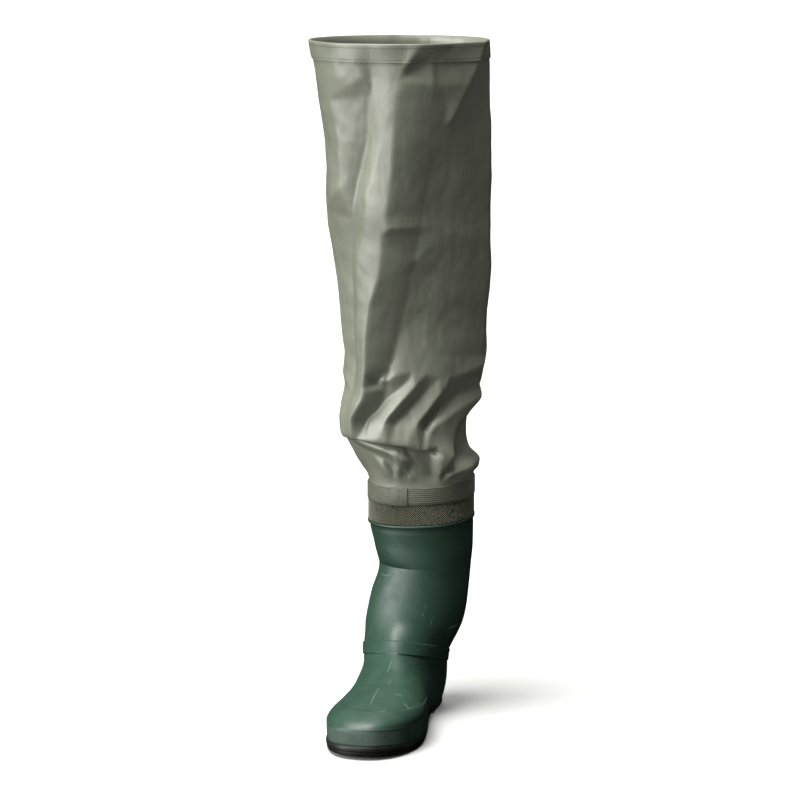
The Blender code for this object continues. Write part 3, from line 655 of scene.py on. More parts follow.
def bootDistance(x, y, z):
    # below zero inside the boot
    along = alongFoot(y)
    centre, half, lean = (smooth(along, footRows, i) * form["ballWidth"] for i in (1, 2, 3))
    crest = smooth(along, footRows, 4) * form["instepHeight"]
    square = smooth(along, footRows, 5)
    high = np.clip(z - form["widest"], 0, None) / (crest - form["widest"])
    centre = centre + lean * high
    tuck = form["heelTuck"] + (form["toeTuck"] - form["heelTuck"]) * np.clip((along - 0.10) / 0.35, 0, 1)
    narrow = 1 - tuck * np.clip((form["widest"] - z) / form["widest"], 0, 1) ** 2
    heelEnd = np.clip((form["heelRound"] - along) / form["heelRound"], 0, None)
    toeEnd = np.clip((along - 1 + form["toeRound"]) / form["toeRound"], 0, None)
    side = (np.abs(x - centre) / (half * narrow)) ** square
    ends = (np.maximum(heelEnd, toeEnd) / np.sqrt(narrow)) ** form["endPower"]
    foot = ((side + high ** (square - 0.2) + ends) ** (1 / square) - 1) * form["widest"]
    inner, outer, front, back = shaftSides(z)
    across = np.abs(x - (inner - outer) / 2) / ((inner + outer) / 2)
    deep = np.abs(y - (back - front) / 2) / ((back + front) / 2)
    power = form["shaftPower"]
    shaft = ((across ** power + deep ** power) ** (1 / power) - 1) * form["widest"]
    mix = np.clip(0.5 + 0.5 * (shaft - foot) / form["blend"], 0, 1)
    return shaft + (foot - shaft) * mix - form["blend"] * mix * (1 - mix)


ringRows = (
    # along, front, back, follow, step
    (1.00, 0.069, 0.026, 1.0, "bumper"),
    (1.00, 0.112, 0.068, 0.7, "bumper"),
    (1.00, 0.150, 0.100, 0.4, "bumper"),
    (1.00, 0.154, 0.104, 0.4, "cap"),
    (0.98, 0.190, 0.126, 0.2, "cap"),
    (0.95, 0.216, 0.142, 0.1, "cap"),
    (0.95, 0.221, 0.146, 0.1, "plain"),
    (0.90, 0.250, 0.157, 0.0, "plain"),
    (0.82, 0.272, 0.167, 0.0, "plain"),
    (0.73, 0.298, 0.176, 0.0, "plain"),
    (0.64, 0.326, 0.184, 0.0, "plain"),
    (0.55, 0.355, 0.192, 0.0, "plain"),
    (0.50, 0.372, 0.198, 0.0, "plain"),
    (0.50, 0.376, 0.202, 0.0, "band"),
    (0.47, 0.400, 0.226, 0.0, "band"),
    (0.45, 0.424, 0.250, 0.0, "band"),
    (0.45, 0.428, 0.254, 0.0, "plain"),
    (0.42, 0.470, 0.310, 0.0, "plain"),
    (0.40, 0.530, 0.390, 0.0, "plain"),
    (0.38, 0.600, 0.480, 0.0, "plain"),
    (0.36, 0.670, 0.580, 0.0, "plain"),
    (0.35, 0.725, 0.665, 0.0, "plain"),
    (0.35, 0.765, 0.730, 0.0, "plain"),
    (0.35, 0.815, 0.800, 0.0, "plain"),
    (0.35, 0.880, 0.880, 0.0, "plain"),
    (0.35, 0.935, 0.946, 0.0, "plain"),
    (0.35, 0.973, 0.988, 0.0, "plain"),
    (0.35, 0.977, 0.992, 0.0, "bead"),
    (0.35, 0.988, 1.004, 0.0, "bead"),
)


def ringPoints(along, front, back, follow, columns):
    # where rays from the middle of each ring leave the boot's plain form
    along, front, back, follow = (np.asarray(v, float).reshape(-1, 1) for v in (along, front, back, follow))
    turns = turnsOf(columns)[None, :]
    height = form["bootHeight"]
    inner, outer, shaftFront, shaftBack = shaftSides((front + back) / 2 * height)
    fore = np.maximum(-footY(along), shaftFront)
    halfX = (form["ballWidth"] + inner + outer) / 4
    halfY = (fore + shaftBack) / 2
    centreX = (inner - outer) / 2 * np.minimum(1, back)
    centreY = (shaftBack - fore) / 2
    wayX, wayY = halfX * np.sin(turns), -halfY * np.cos(turns)
    first = ringRows[0]

    def level(x, y):
        straight = back * height + (front - back) * height / along * alongFoot(y)
        base = (first[2] + (first[1] - first[2]) * alongFoot(y)) * height
        roll = form["rimRoll"] * x * np.clip(back * 2 - 1, 0, 1)
        return straight + follow * (edgeHeight(y) - base) + roll

    near, far = np.zeros(wayX.shape), np.full(wayX.shape, 2.0)
    for _ in range(30):
        middle = (near + far) / 2
        x, y = centreX + middle * wayX, centreY + middle * wayY
        inside = bootDistance(x, y, level(x, y)) < 0
        near, far = np.where(inside, middle, near), np.where(inside, far, middle)
    x, y = centreX + near * wayX, centreY + near * wayY
    return np.stack([x, y, level(x, y)], axis=2)


def rimRing(lift, rise, columns):
    # a ring at the boot's rim, moved outward by lift and up by rise
    return pushed(ringPoints(*ringRows[-1][:4], columns)[0], lift, rise)


# Boot upper

upperLook = {
    "columns": 264,
    "ringSpacing": 0.0030,
    "creaseNear": 0.06,  # within this share of the height the rings lie three times as close
    "shoulderRings": 4,
    "innerEvery": 3,
    "wall": 0.0025,
    "bumperStep": 0.0012,
    "capStep": 0.0008,
    "bandStep": 0.0013,
    "beadStep": 0.0016,
    "capBack": 0.50,
    "capFade": 0.10,
    "creaseTurn": -30.0,
    "creaseHeight": 0.762,
    "creaseWide": 38.0,
    "creaseTall": 0.030,
    "creaseDepth": 0.0040,
    "creaseLip": 0.0006,
    "creaseLipDrop": 0.004,
    "beadGroove": 0.0006,
    "beadGrooveDrop": 0.0052,
    "beadGrooveTall": 0.0011,
}


def upperRows():
    # the rings' table at a fine spacing, with a rounded shoulder where the step changes
    look = upperLook
    lifts = {"plain": 0.0, "bumper": look["bumperStep"], "cap": look["capStep"],
             "band": look["bandStep"], "bead": look["beadStep"]}
    rows, tables = [], []
    for i in range(len(ringRows) - 1):
        here, there = ringRows[i], ringRows[i + 1]
        length = math.hypot((there[1] - here[1]) * form["bootHeight"],
                            (here[0] - there[0]) * form["footLength"])
        nearCrease = abs((here[1] + there[1]) / 2 - look["creaseHeight"]) < look["creaseNear"]
        spacing = look["ringSpacing"] / (3 if nearCrease else 1)
        count = look["shoulderRings"] if here[4] != there[4] else max(2, math.ceil(length / spacing))
        for step in range(count):
            t = step / count
            lift = lifts[here[4]] + (lifts[there[4]] - lifts[here[4]]) * float(ease(t))
            tables.append((i + t, lift, here[4] in ("bumper", "cap")))
    tables.append((len(ringRows) - 1, lifts[ringRows[-1][4]], False))
    indexed = [(i, *row[:4]) for i, row in enumerate(ringRows)]
    for place, lift, onToe in tables:
        low = min(int(place), len(ringRows) - 2)
        sharp = indexed[low][1:], indexed[low + 1][1:]
        t = place - low
        rows.append([a + (b - a) * t for a, b in zip(*sharp)] + [lift, onToe])
    for index in range(4):
        soft = smooth([t[0] for t in tables], indexed, index + 1)
        for row, value in zip(rows, soft):
            row[index] = float(value)
    return rows


def makeUpper(pvc):
    look = upperLook
    rows = upperRows()
    along, front, back, follow = ([row[i] for row in rows] for i in range(4))
    plain = ringPoints(along, front, back, follow, look["columns"])
    normals = gridNormals(plain)
    normals[0], normals[-1] = flatNormals(plain[0]), flatNormals(plain[-1])
    turn = fromFront(turnsOf(look["columns"]))[None, :]
    across = np.exp(-((turn - look["creaseTurn"]) / look["creaseWide"]) ** 2)
    above = plain[:, :, 2] / form["bootHeight"] - look["creaseHeight"]
    valley = np.exp(-np.abs(above) / look["creaseTall"])
    lipLine = np.exp(-((above + look["creaseLipDrop"]) / look["creaseLipDrop"]) ** 2)
    dent = across * (look["creaseDepth"] * valley - look["creaseLip"] * lipLine)
    belowRim = plain[:, :, 2] - plain[-1][None, :, 2] + look["beadGrooveDrop"]
    groove = np.exp(-(belowRim / look["beadGrooveTall"]) ** 2)
    plain = plain - (dent + look["beadGroove"] * groove)[:, :, None] * normals
    fade = np.clip((alongFoot(plain[:, :, 1]) - look["capBack"]) / look["capFade"], 0, 1)
    lift = np.array([row[4] for row in rows])[:, None]
    onToe = np.array([row[5] for row in rows])[:, None]
    outer = plain + (lift * np.where(onToe, fade, 1))[:, :, None] * normals
    keep = list(range(0, len(rows) - 1, look["innerEvery"])) + [len(rows) - 1]
    inner = (plain - look["wall"] * normals)[keep]
    upper = shellPiece("bootUpperShell", np.concatenate([outer, inner[::-1]]), pvc)
    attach(upper, "root")
    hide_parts("boot_upper")


# Outsole

soleLook = {
    "columns": 264,
    "wall": 0.0025,
    "step": 0.0018,
    "lip": 0.0025,
    "heelLip": 0.30,
    "lipGrows": (0.35, 0.35),  # along the foot: from, over
    "sideStep": 0.0009,
    "lugDepth": 0.0035,
    "lugGroove": 0.0045,
    "lugPitch": 0.0135,
    "lugBorder": 0.0105,
    "lugRib": 0.0080,
    "lugLean": 0.8,
    "cutBelow": -0.01,
    "sharpAngle": 32,
    "spans": ((0.045, 0.235), (0.560, 0.930)),
}
archRows = ((0.255, -0.60), (0.262, 0.86), (0.290, 1.00), (0.360, 0.92), (0.440, 0.52), (0.520, 0.00),
            (0.540, -0.60))
soleProfile = (
    # steps in from the lip, share of the edge's height
    (3.0, 0.00), (1.6, 0.07), (1.0, 0.16), (1.0, 0.44), (0.2, 0.50), (0.0, 0.56), (0.0, 0.84),
    (0.3, 0.93), (1.0, 1.00),
)


def atHeight(ring, height):
    return np.stack([ring[:, 0], ring[:, 1], height], axis=1)


def closedPlate(name, rings, material):
    # rings go up the edge, and strips across close it below and above
    rings = np.asarray(rings)
    count, columns = rings.shape[:2]
    faces = gridFaces(count, columns, False)[0].tolist()
    half = columns // 2
    for first in (0, (count - 1) * columns):
        last = first + columns
        faces.append([first, first + 1, last - 1])
        faces += [[first + i, first + i + 1, last - i - 1, last - i] for i in range(1, half - 1)]
        faces.append([first + half - 1, first + half, first + half + 1])
    return newPiece(name, rings, (), faces, [material], True)


def prisms(name, outlines):
    # each is an outline and the same outline at its other end
    points, faces = [], []
    for one, other in outlines:
        first, count = len(points), len(one)
        points += list(one) + list(other)
        faces.append([first + i for i in range(count)])
        faces.append([first + 2 * count - 1 - i for i in range(count)])
        for i in range(count):
            j = (i + 1) % count
            faces.append([first + count + i, first + count + j, first + j, first + i])
    return newPiece(name, points, (), faces, (), True)


def grooveOutlines(edge):
    look = soleLook
    outlines = []
    for first, last in look["spans"]:
        length = (last - first) * form["footLength"]
        count = int(length // look["lugPitch"])
        start = footY(first) - (length - (count - 1) * look["lugPitch"]) / 2
        for step in range(count):
            y = start - step * look["lugPitch"]
            for side in (1, -1):
                sides = edge[:, 0] * side > 0
                order = np.argsort(edge[sides, 1])
                reach = np.interp(y, edge[sides, 1][order], np.abs(edge[sides, 0][order]))
                middle = float(smooth(alongFoot(y), footRows, 1)) * form["ballWidth"] * side
                inner, outer = middle + look["lugRib"] / 2, reach - look["lugBorder"]
                if outer - inner < 2 * look["lugGroove"]:
                    continue
                ends = []
                for x, shift in ((inner, 0), (outer, look["lugGroove"] * look["lugLean"])):
                    near, far = y + shift - look["lugGroove"] / 2, y + shift + look["lugGroove"] / 2
                    tops = [float(walkingHeight(at)) + look["lugDepth"] for at in (far, near)]
                    ends.append([(side * x, near, look["cutBelow"]), (side * x, far, look["cutBelow"]),
                                 (side * x, far, tops[0]), (side * x, near, tops[1])])
                outlines.append(ends)
    return outlines


def makeOutsole(rubber):
    look = soleLook
    edge = ringPoints(*ringRows[0][:4], look["columns"])[0]
    y = edge[:, 1]
    start, over = look["lipGrows"]
    grown = np.clip((alongFoot(y) - start) / over, 0, 1)
    lip = look["lip"] * (look["heelLip"] + (1 - look["heelLip"]) * grown)
    top, floor = edgeHeight(y) - form["gap"], walkingHeight(y)
    rings = [atHeight(pushed(edge, lip - inward * look["sideStep"]), floor + (top - floor) * share)
             for inward, share in soleProfile]
    seat = pushed(edge, -(look["wall"] + look["step"] + 2 * form["gap"]))
    rings.append(atHeight(seat, edgeHeight(seat[:, 1]) - form["gap"]))
    rings.append(atHeight(seat, deckHeight(seat[:, 1])))
    sole = closedPlate("outsoleTread", rings, rubber)
    outline = [(footY(along), rise * form["archRise"]) for along, rise in archRows]
    ends = [[(x, a, b) for a, b in outline] for x in (-form["ballWidth"], form["ballWidth"])]
    tools = prisms("archTool", [ends]), prisms("lugTool", grooveOutlines(edge))
    for tool in tools:
        modifier = sole.modifiers.new(tool.name, "BOOLEAN")
        modifier.object, modifier.operation, modifier.solver = tool, "DIFFERENCE", "EXACT"
    bpy.context.view_layer.update()
    plainMesh(sole)
    sole.data.shade_smooth()
    sole.data.set_sharp_from_angle(angle=math.radians(look["sharpAngle"]))
    for tool in tools:
        bpy.data.objects.remove(tool, do_unlink=True)
    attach(sole, "root")
    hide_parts("outsole")


# Knurled collar

collarLook = {
    "columns": 264,
    "fineColumns": 2400,
    "height": 0.024,
    "tapeHeight": 0.021,
    "clothWall": 0.0007,
    "flangeWall": 0.0012,
    "knurlPitch": 0.0026,
    "knurlHeight": 0.0011,
    "knurlCover": 0.49,
    "knurlSeat": 0.00005,
    "margin": 0.0012,
    "sharpAngle": 40,
}


def makeCollar(rubber, knurls):
    look = collarLook
    gap, columns, half = form["gap"], look["columns"], look["knurlPitch"] / 2
    flange = -look["clothWall"] - 2 * gap
    top = gap + look["height"]
    profile = (
        # lift, rise
        (-0.0012, gap), (-0.0003, gap + 0.0004), (-0.0001, gap + 0.0010), (0.0, gap + look["height"] / 2),
        (-0.0001, top - 0.0010), (-0.0003, top - 0.0004), (-0.0008, top), (flange, top),
        (flange, top + look["tapeHeight"]), (flange - look["flangeWall"], top + look["tapeHeight"]),
        (flange - look["flangeWall"], gap),
    )
    collar = shellPiece("knurledCollarBand", [rimRing(a, b, columns) for a, b in profile], rubber,
                        look["sharpAngle"])
    base = rimRing(0.0, 0.0, look["fineColumns"])
    girth = np.linalg.norm(np.roll(base, -1, axis=0) - base, axis=1)
    walked = np.concatenate([[0], np.cumsum(girth)[:-1]])
    around = round(girth.sum() / look["knurlPitch"])
    outward = flatNormals(base)
    rowCount = round((look["height"] - 2 * look["margin"]) / half)
    points, facing = [], []
    for row in range(rowCount + 1):
        at = (np.arange(around) + (row % 2) / 2) * girth.sum() / around
        index = np.searchsorted(walked, at, side="right") - 1
        place = base[index] + outward[index] * look["knurlSeat"]
        place[:, 2] += gap + look["margin"] + row * half
        points += place.tolist()
        facing += outward[index].tolist()
    knurl = newPiece("knurlPoints", points)
    attribute = knurl.data.attributes.new("outward", "FLOAT_VECTOR", "POINT")
    attribute.data.foreach_set("vector", np.array(facing, np.float32).ravel())
    runTree(knurl, knurls, {"Radius": look["knurlPitch"] * look["knurlCover"], "Height": look["knurlHeight"],
                            "Finish": rubber})
    knurl.data.shade_flat()
    joined(collar, [knurl])
    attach(collar, "root")
    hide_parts("knurled_collar")


# Ribbed tape and its lapped end

tapeLook = {
    "columns": 264,
    "fineColumns": 2880,
    "wall": 0.0012,
    "edgeRound": 0.0005,
    "ribs": 8,
    "ribRadius": 0.00055,
    "ribSink": 0.0001,
    "bareFoot": 0.0030,  # the plain margin under the ribs
    "bareTop": 0.0012,
    "seamRise": 0.0014,
    "seamStitch": {"Pitch": 0.0030, "Stitch": 0.0013, "Thread": 0.0010},
    "lapWall": 0.0009,
    "lapRound": 0.0004,
    "lapColumns": 40,
    "sharpAngle": 50,
    "ribPoints": 300,
    "seamPoints": 400,
    "gridPoints": 60,
    "ribEnd": 0.4,
    "seamEnd": 1.0,
    "lapStart": -17.5,
    "lapEnd": 1.8,
    "gridStart": -10.0,
    "gridFoot": 0.0018,
    "gridTop": 0.0012,
    "gridStitch": {"Pitch": 0.0024, "Stitch": 0.0012, "Thread": 0.0011},
}


def tapeLevels():
    look = tapeLook
    low = 2 * form["gap"] + collarLook["height"]
    high = low + collarLook["tapeHeight"]
    ribRises = np.linspace(low + look["bareFoot"] + look["ribRadius"], high - look["bareTop"], look["ribs"])
    return low, high, ribRises


def arcPoints(lift, rise, startTurn, endTurn, count):
    # a stretch of a rim ring between two turns in degrees
    fine = rimRing(lift, rise, tapeLook["fineColumns"])
    index = np.round(np.linspace(startTurn, endTurn, count) * len(fine) / 360).astype(int) % len(fine)
    return fine[index]


def roundedSection(inside, outside, low, high, edge):
    return ((inside, low), (outside - edge, low), (outside, low + edge), (outside, high - edge),
            (outside - edge, high), (inside, high))


def makeTape(webbing, thread, ribs, stitches):
    look = tapeLook
    low, high, ribRises = tapeLevels()
    outside = form["gap"] + look["wall"]
    section = roundedSection(form["gap"], outside, low, high, look["edgeRound"])
    tape = shellPiece("ribbedTapeBand", [rimRing(a, b, look["columns"]) for a, b in section], webbing,
                      look["sharpAngle"])
    start, end, clear = look["lapEnd"], 360 + look["lapStart"], look["ribEnd"]
    paths = [arcPoints(outside - look["ribSink"], rise, start + clear, end - clear, look["ribPoints"])
             for rise in ribRises]
    ribPiece = runTree(pathsPiece("tapeRibs", paths), ribs, {"Radius": look["ribRadius"], "Finish": webbing})
    clear = look["seamEnd"]
    seam = [arcPoints(outside, low + look["seamRise"], start + clear, end - clear, look["seamPoints"])]
    sewing = runTree(pathsPiece("tapeStitches", seam), stitches, {**look["seamStitch"], "Finish": thread})
    joined(tape, [ribPiece, sewing])
    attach(tape, "root")
    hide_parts("ribbed_tape")


def makeLap(webbing, thread, stitches):
    look = tapeLook
    low, high, _ = tapeLevels()
    inside = form["gap"] + look["wall"] + form["gap"]
    outside = inside + look["lapWall"]
    count = look["lapColumns"]
    section = roundedSection(inside, outside, low, high, look["lapRound"])
    grid = np.array([arcPoints(a, b, look["lapStart"], look["lapEnd"], count) for a, b in section])
    rows = len(grid)
    faces = gridFaces(rows, count, True)[0].reshape(rows, count, 4)[:, :-1].reshape(-1, 4).tolist()
    ends = [[row * count + end for row in range(rows)] for end in (0, count - 1)]
    lap = newPiece("tapeLapEnd", grid, (), faces + ends, [webbing], True, look["sharpAngle"])
    rises = np.arange(low + look["gridFoot"], high - look["gridTop"], look["gridStitch"]["Pitch"])
    paths = [arcPoints(outside, rise, look["gridStart"], look["lapEnd"] - look["seamEnd"], look["gridPoints"])
             for rise in rises]
    holes = runTree(pathsPiece("lapStitches", paths), stitches, {**look["gridStitch"], "Finish": thread})
    joined(lap, [holes])
    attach(lap, "root")
    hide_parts("tape_lap")


# Leg of coated cloth

legLook = {
    "columns": 264,
    "rows": 236,
    "foot": -0.036,  # the cloth's lower end, under the tape, as a share of the length, as the next three are
    "grip": (0.003, 0.022),
    "foldsStart": (0.004, 0.026),
    "gatherReach": (0.006, 0.081),
    "length": 0.514,
    "width": 0.210,
    "hem": 0.020,
    "innerDepth": 0.0014,
    "thinBelow": 0.02,
    "innerEvery": 2,
    "sampleStep": 0.006,
    "softening": 1,
    "foldStrength": 1.25,
    "wander": 0.0011,
    "wanderCells": (14, 16, 3),  # cells up, cells round, seed
    "ripple": 0.00035,
    "rippleCells": (40, 60, 5),
    "gather": 0.0026,
    "gatherCells": (5, 38, 11),
    "gatherFade": 1.5,
    "lapDrop": 0.012,
    "lapTall": 0.0065,
    "lapEnds": ((-71, -49), (28, 46)),  # turns where the drop of the blouse's edge sets in and fades out
    "hemCalm": 0.45,
    "hemCalmReach": (0.93, 0.99),
    "faceDepth": 0.0160,
    "faceEnd": 94,
    "flatWidth": 0.69,
    "flatLength": 0.56,
    "flatArea": 0.33,
}
legRows = (
    # height, side, depth, inward, backward
    (-0.045, 0.294, 0.306, 0.036, -0.010),
    (-0.012, 0.294, 0.306, 0.036, -0.010),
    (0.020, 0.305, 0.318, 0.030, -0.012),
    (0.050, 0.326, 0.338, 0.010, -0.016),
    (0.085, 0.338, 0.352, -0.022, -0.020),
    (0.128, 0.366, 0.378, -0.043, -0.022),
    (0.175, 0.380, 0.394, -0.020, -0.024),
    (0.222, 0.383, 0.400, 0.000, -0.026),
    (0.270, 0.389, 0.406, 0.003, -0.028),
    (0.315, 0.395, 0.413, -0.002, -0.030),
    (0.360, 0.398, 0.418, -0.010, -0.030),
    (0.450, 0.419, 0.436, -0.012, -0.030),
    (0.540, 0.438, 0.452, -0.022, -0.032),
    (0.635, 0.455, 0.466, -0.038, -0.034),
    (0.770, 0.460, 0.474, -0.038, -0.036),
    (0.860, 0.476, 0.486, -0.054, -0.038),
    (1.000, 0.500, 0.508, -0.078, -0.040),
)
# how much of the flat inner face there is at each share of the leg's length
faceRows = ((-0.05, 0.0), (0.07, 0.0), (0.12, 0.55), (0.18, 0.95), (0.32, 1.10), (0.66, 1.00), (0.84, 0.45),
            (1.00, 0.0))
# Creases, listed one by one: turn from the front in degrees, height as a share of the leg's length,
# and how far the cloth stands out there in millimetres. The cloth lies flat between them.
creases = {
    "shinRidge": ((21, 1.03, 2), (18, 0.955, 3), (12, 0.88, 4.5), (8, 0.79, 6), (7, 0.73, 6), (4, 0.655, 6),
                  (2, 0.62, 6.5), (4, 0.593, 7), (-2, 0.577, 6), (-4, 0.52, 6.5), (-7, 0.472, 7),
                  (-15, 0.419, 7.5), (-18, 0.364, 8), (-22, 0.298, 8), (-23, 0.248, 8), (-25, 0.197, 8),
                  (-33, 0.147, 9)),
    "shinShoulder": ((9, 1.03, 2), (9, 0.957, 2), (7, 0.882, 3), (0, 0.787, 3.5), (-5, 0.73, 3.5),
                     (-12, 0.662, 4), (-11, 0.634, 4), (-15, 0.577, 4), (-24, 0.532, 4), (-27, 0.483, 4),
                     (-28, 0.415, 4.5), (-31, 0.351, 5), (-33, 0.298, 5), (-33, 0.229, 6), (-36, 0.179, 7)),
    "outerHollow": ((-4, 1.03, -2), (-6, 0.9, -3), (-13, 0.785, -5), (-22, 0.694, -6), (-30, 0.579, -6),
                    (-38, 0.488, -6), (-41, 0.385, -5.5), (-43, 0.282, -4.5), (-46, 0.213, 0)),
    "thighStreak": ((-22, 1.03, 2.5), (-14, 0.964, 2), (-7, 0.918, 1)),
    "outerStreak": ((-39, 0.877, 2.5), (-35, 0.785, 3), (-35, 0.682, 2)),
    "shinHollow": ((36, 0.923, 3), (33, 0.831, 2.5), (33, 0.74, 1.5), (32, 0.671, 0.5), (27, 0.602, 0.5),
                   (20, 0.522, 0), (12, 0.431, -1), (4, 0.351, -3), (-6, 0.282, -5), (-12, 0.225, -5)),
    "kneeFoldTop": ((37, 1.03, 6), (27, 0.992, 6), (19, 0.957, 6)),
    "kneeFoldUnder": ((70, 1.03, -5), (52, 0.996, -4.5), (39, 0.973, -4.5), (25, 0.954, -3.5)),
    "sideRidge": ((87, 1.03, 5), (73, 0.957, 5), (61, 0.889, 5), (51, 0.831, 4)),
    "sideHollow": ((106, 1.03, -4), (82, 0.964, -5), (67, 0.895, -5), (56, 0.84, -3)),
    "kneeCurl": ((52, 0.825, 0.5), (39, 0.813, 0.8)),
    "kneeUnder": ((54, 0.795, -0.3), (42, 0.758, 0)),
    "thighPlane": ((41, 0.911, 1.5), (47, 0.877, 1)),
    "innerPlane": ((80, 0.76, 0), (82, 0.7, 0), (84, 0.6, 0), (84, 0.5, 0), (84, 0.42, 0)),
    "calfRidge": ((-5, 0.469, 5), (6, 0.483, 3), (24, 0.532, 1.2), (37, 0.552, 1.2), (56, 0.577, 1)),
    "calfRidgeHigh": ((36, 0.634, 0.5), (50, 0.648, 1), (62, 0.671, 1)),
    "calfHollow": ((54, 0.536, 0), (30, 0.477, -1), (18, 0.442, -1)),
    "calfPlane": ((60, 0.44, 0), (56, 0.38, 0)),
    "shinFan": ((7, 0.375, -2.5), (14, 0.37, -2.5)),
    "shinArc": ((20, 0.414, -0.5), (28, 0.424, 0.5), (37, 0.415, 0)),
    "kneeValley": ((-20, 0.243, -6), (-4, 0.28, -3.5), (12, 0.31, -0.5), (30, 0.312, 0.5), (51, 0.295, 0.5),
                   (99, 0.289, -2)),
    "bunchRidge": ((-14, 0.239, -2), (1, 0.258, 0), (18, 0.265, 1.5), (26, 0.261, 2.5), (35, 0.252, 3),
                   (48, 0.243, 3), (70, 0.25, 2), (104, 0.272, 1)),
    "fingerUpper": ((24, 0.249, 3.5), (15, 0.225, 5), (6, 0.195, 6), (-2, 0.163, 6.5), (-6, 0.138, 7)),
    "hollowByShin": ((9, 0.243, -2), (-4, 0.213, -4.5), (-14, 0.186, -6), (-25, 0.149, -5)),
    "hollowBetween": ((34, 0.232, -1), (24, 0.209, -3.5), (14, 0.181, -3.5), (5, 0.152, -1)),
    "fingerLower": ((48, 0.223, 4.5), (40, 0.2, 5), (30, 0.163, 6), (23, 0.135, 7)),
    "darkWedge": ((106, 0.241, -6), (68, 0.225, -5.5), (50, 0.195, -5.5), (36, 0.152, -5)),
    "fingerSide": ((92, 0.191, 4), (70, 0.177, 4.5), (54, 0.156, 5.5), (41, 0.136, 6.5)),
    "fingerSideEdge": ((86, 0.178, 3), (73, 0.152, 4.5), (65, 0.126, 5), (61, 0.098, 4.5)),
    "sideHollowLow": ((106, 0.163, -8), (95, 0.136, -9), (84, 0.103, -8)),
    "lip": ((-71, 0.131, 1), (-50, 0.130, 4), (-30, 0.129, 7), (-6, 0.124, 8), (15, 0.119, 8),
            (28, 0.108, 7.5), (42, 0.094, 5)),
    "lipUnder": ((-63, 0.113, 1), (-31, 0.111, -1), (-6, 0.104, -2), (15, 0.097, -3), (28, 0.087, -4),
                 (39, 0.077, -4)),
    "secondFold": ((-50, 0.106, 2.5), (-27, 0.092, 4.5), (-8, 0.084, 6), (3, 0.075, 6.5), (6, 0.063, 6),
                   (0, 0.049, 5.5), (-5, 0.035, 5), (-5, 0.014, 4)),
    "secondUnder": ((-48, 0.088, -2), (-25, 0.073, -2.5), (-11, 0.064, -2.5), (-5, 0.054, -2.5),
                    (-11, 0.035, -1.5), (-13, 0.01, -1)),
    "besideSecond": ((21, 0.075, -3), (12, 0.052, -2), (5, 0.028, -1)),
    "pocketTip": ((41, 0.068, 5), (56, 0.066, 6), (48, 0.047, 4), (37, 0.026, 3)),
    "pocketHollow": ((106, 0.075, -6), (75, 0.068, -8), (58, 0.052, -8), (44, 0.031, -4)),
    "lowBulge": ((106, 0.045, 5), (70, 0.035, 6), (49, 0.026, 4.5)),
    "lowCrease": ((16, 0.052, -2.5), (24, 0.042, -3), (31, 0.028, -3), (38, 0.005, -2)),
    "gatherOne": ((-19, 0.042, 2.5), (-12, 0.019, 3), (-5, 0.0, 2)),
    "gatherTwo": ((5, 0.042, 2), (7, 0.019, 2.5), (11, 0.0, 1.5)),
    "outerShade": ((-60, 0.62, 1), (-66, 0.5, 0), (-66, 0.4, 0), (-64, 0.3, 0)),
    "outerKnee": ((-74, 0.22, 1), (-76, 0.179, 1), (-76, 0.133, 1.5)),
    # the back and the outer side, which the picture doesn't show
    "backLip": ((150, 0.11, 3), (172, 0.125, 5), (195, 0.13, 5.5), (222, 0.12, 4.5), (250, 0.128, 4)),
    "backLipUnder": ((152, 0.085, -2), (175, 0.095, -2.5), (200, 0.1, -2.5), (228, 0.092, -1.5)),
    "kneeBackRidge": ((128, 0.2, 3), (150, 0.235, 4.5), (180, 0.25, 5), (212, 0.235, 4.5), (240, 0.205, 3)),
    "kneeBackHollow": ((125, 0.165, -3), (155, 0.185, -3.5), (185, 0.195, -3.5), (218, 0.18, -3)),
    "kneeBackHollowHigh": ((135, 0.29, -2.5), (165, 0.31, -3.5), (195, 0.3, -3.5), (230, 0.27, -2)),
    "backFingerOne": ((150, 0.36, 4), (165, 0.42, 5), (172, 0.5, 4), (176, 0.62, 3), (180, 0.8, 3),
                      (184, 1.03, 3)),
    "backFingerTwo": ((205, 0.34, 4), (215, 0.42, 5), (222, 0.55, 4), (226, 0.72, 3), (232, 1.03, 3)),
    "backHollowOne": ((190, 0.36, -4), (194, 0.46, -4), (198, 0.6, -3), (206, 0.8, -2.5), (210, 1.03, -2)),
    "backHollowTwo": ((132, 0.38, -3), (142, 0.5, -3.5), (150, 0.68, -3), (158, 1.03, -2)),
    "calfSideRidge": ((112, 0.3, 3), (118, 0.42, 4), (124, 0.58, 4), (130, 0.78, 3), (132, 1.03, 2)),
    "outerSideRidge": ((256, 0.3, 3), (252, 0.45, 4), (256, 0.62, 4), (262, 0.82, 3), (264, 1.03, 3)),
    "outerSideHollow": ((276, 0.22, -3), (274, 0.4, -3), (278, 0.6, -2), (284, 0.8, -2), (288, 1.03, -1)),
    "outerBunch": ((252, 0.16, -4), (268, 0.19, -5), (284, 0.2, -3)),
    "outerBunchRidge": ((250, 0.2, 4), (270, 0.235, 5), (288, 0.25, 3)),
    "lowBackBulge": ((140, 0.045, 4), (170, 0.05, 5), (200, 0.045, 5), (235, 0.05, 4), (270, 0.045, 3)),
}


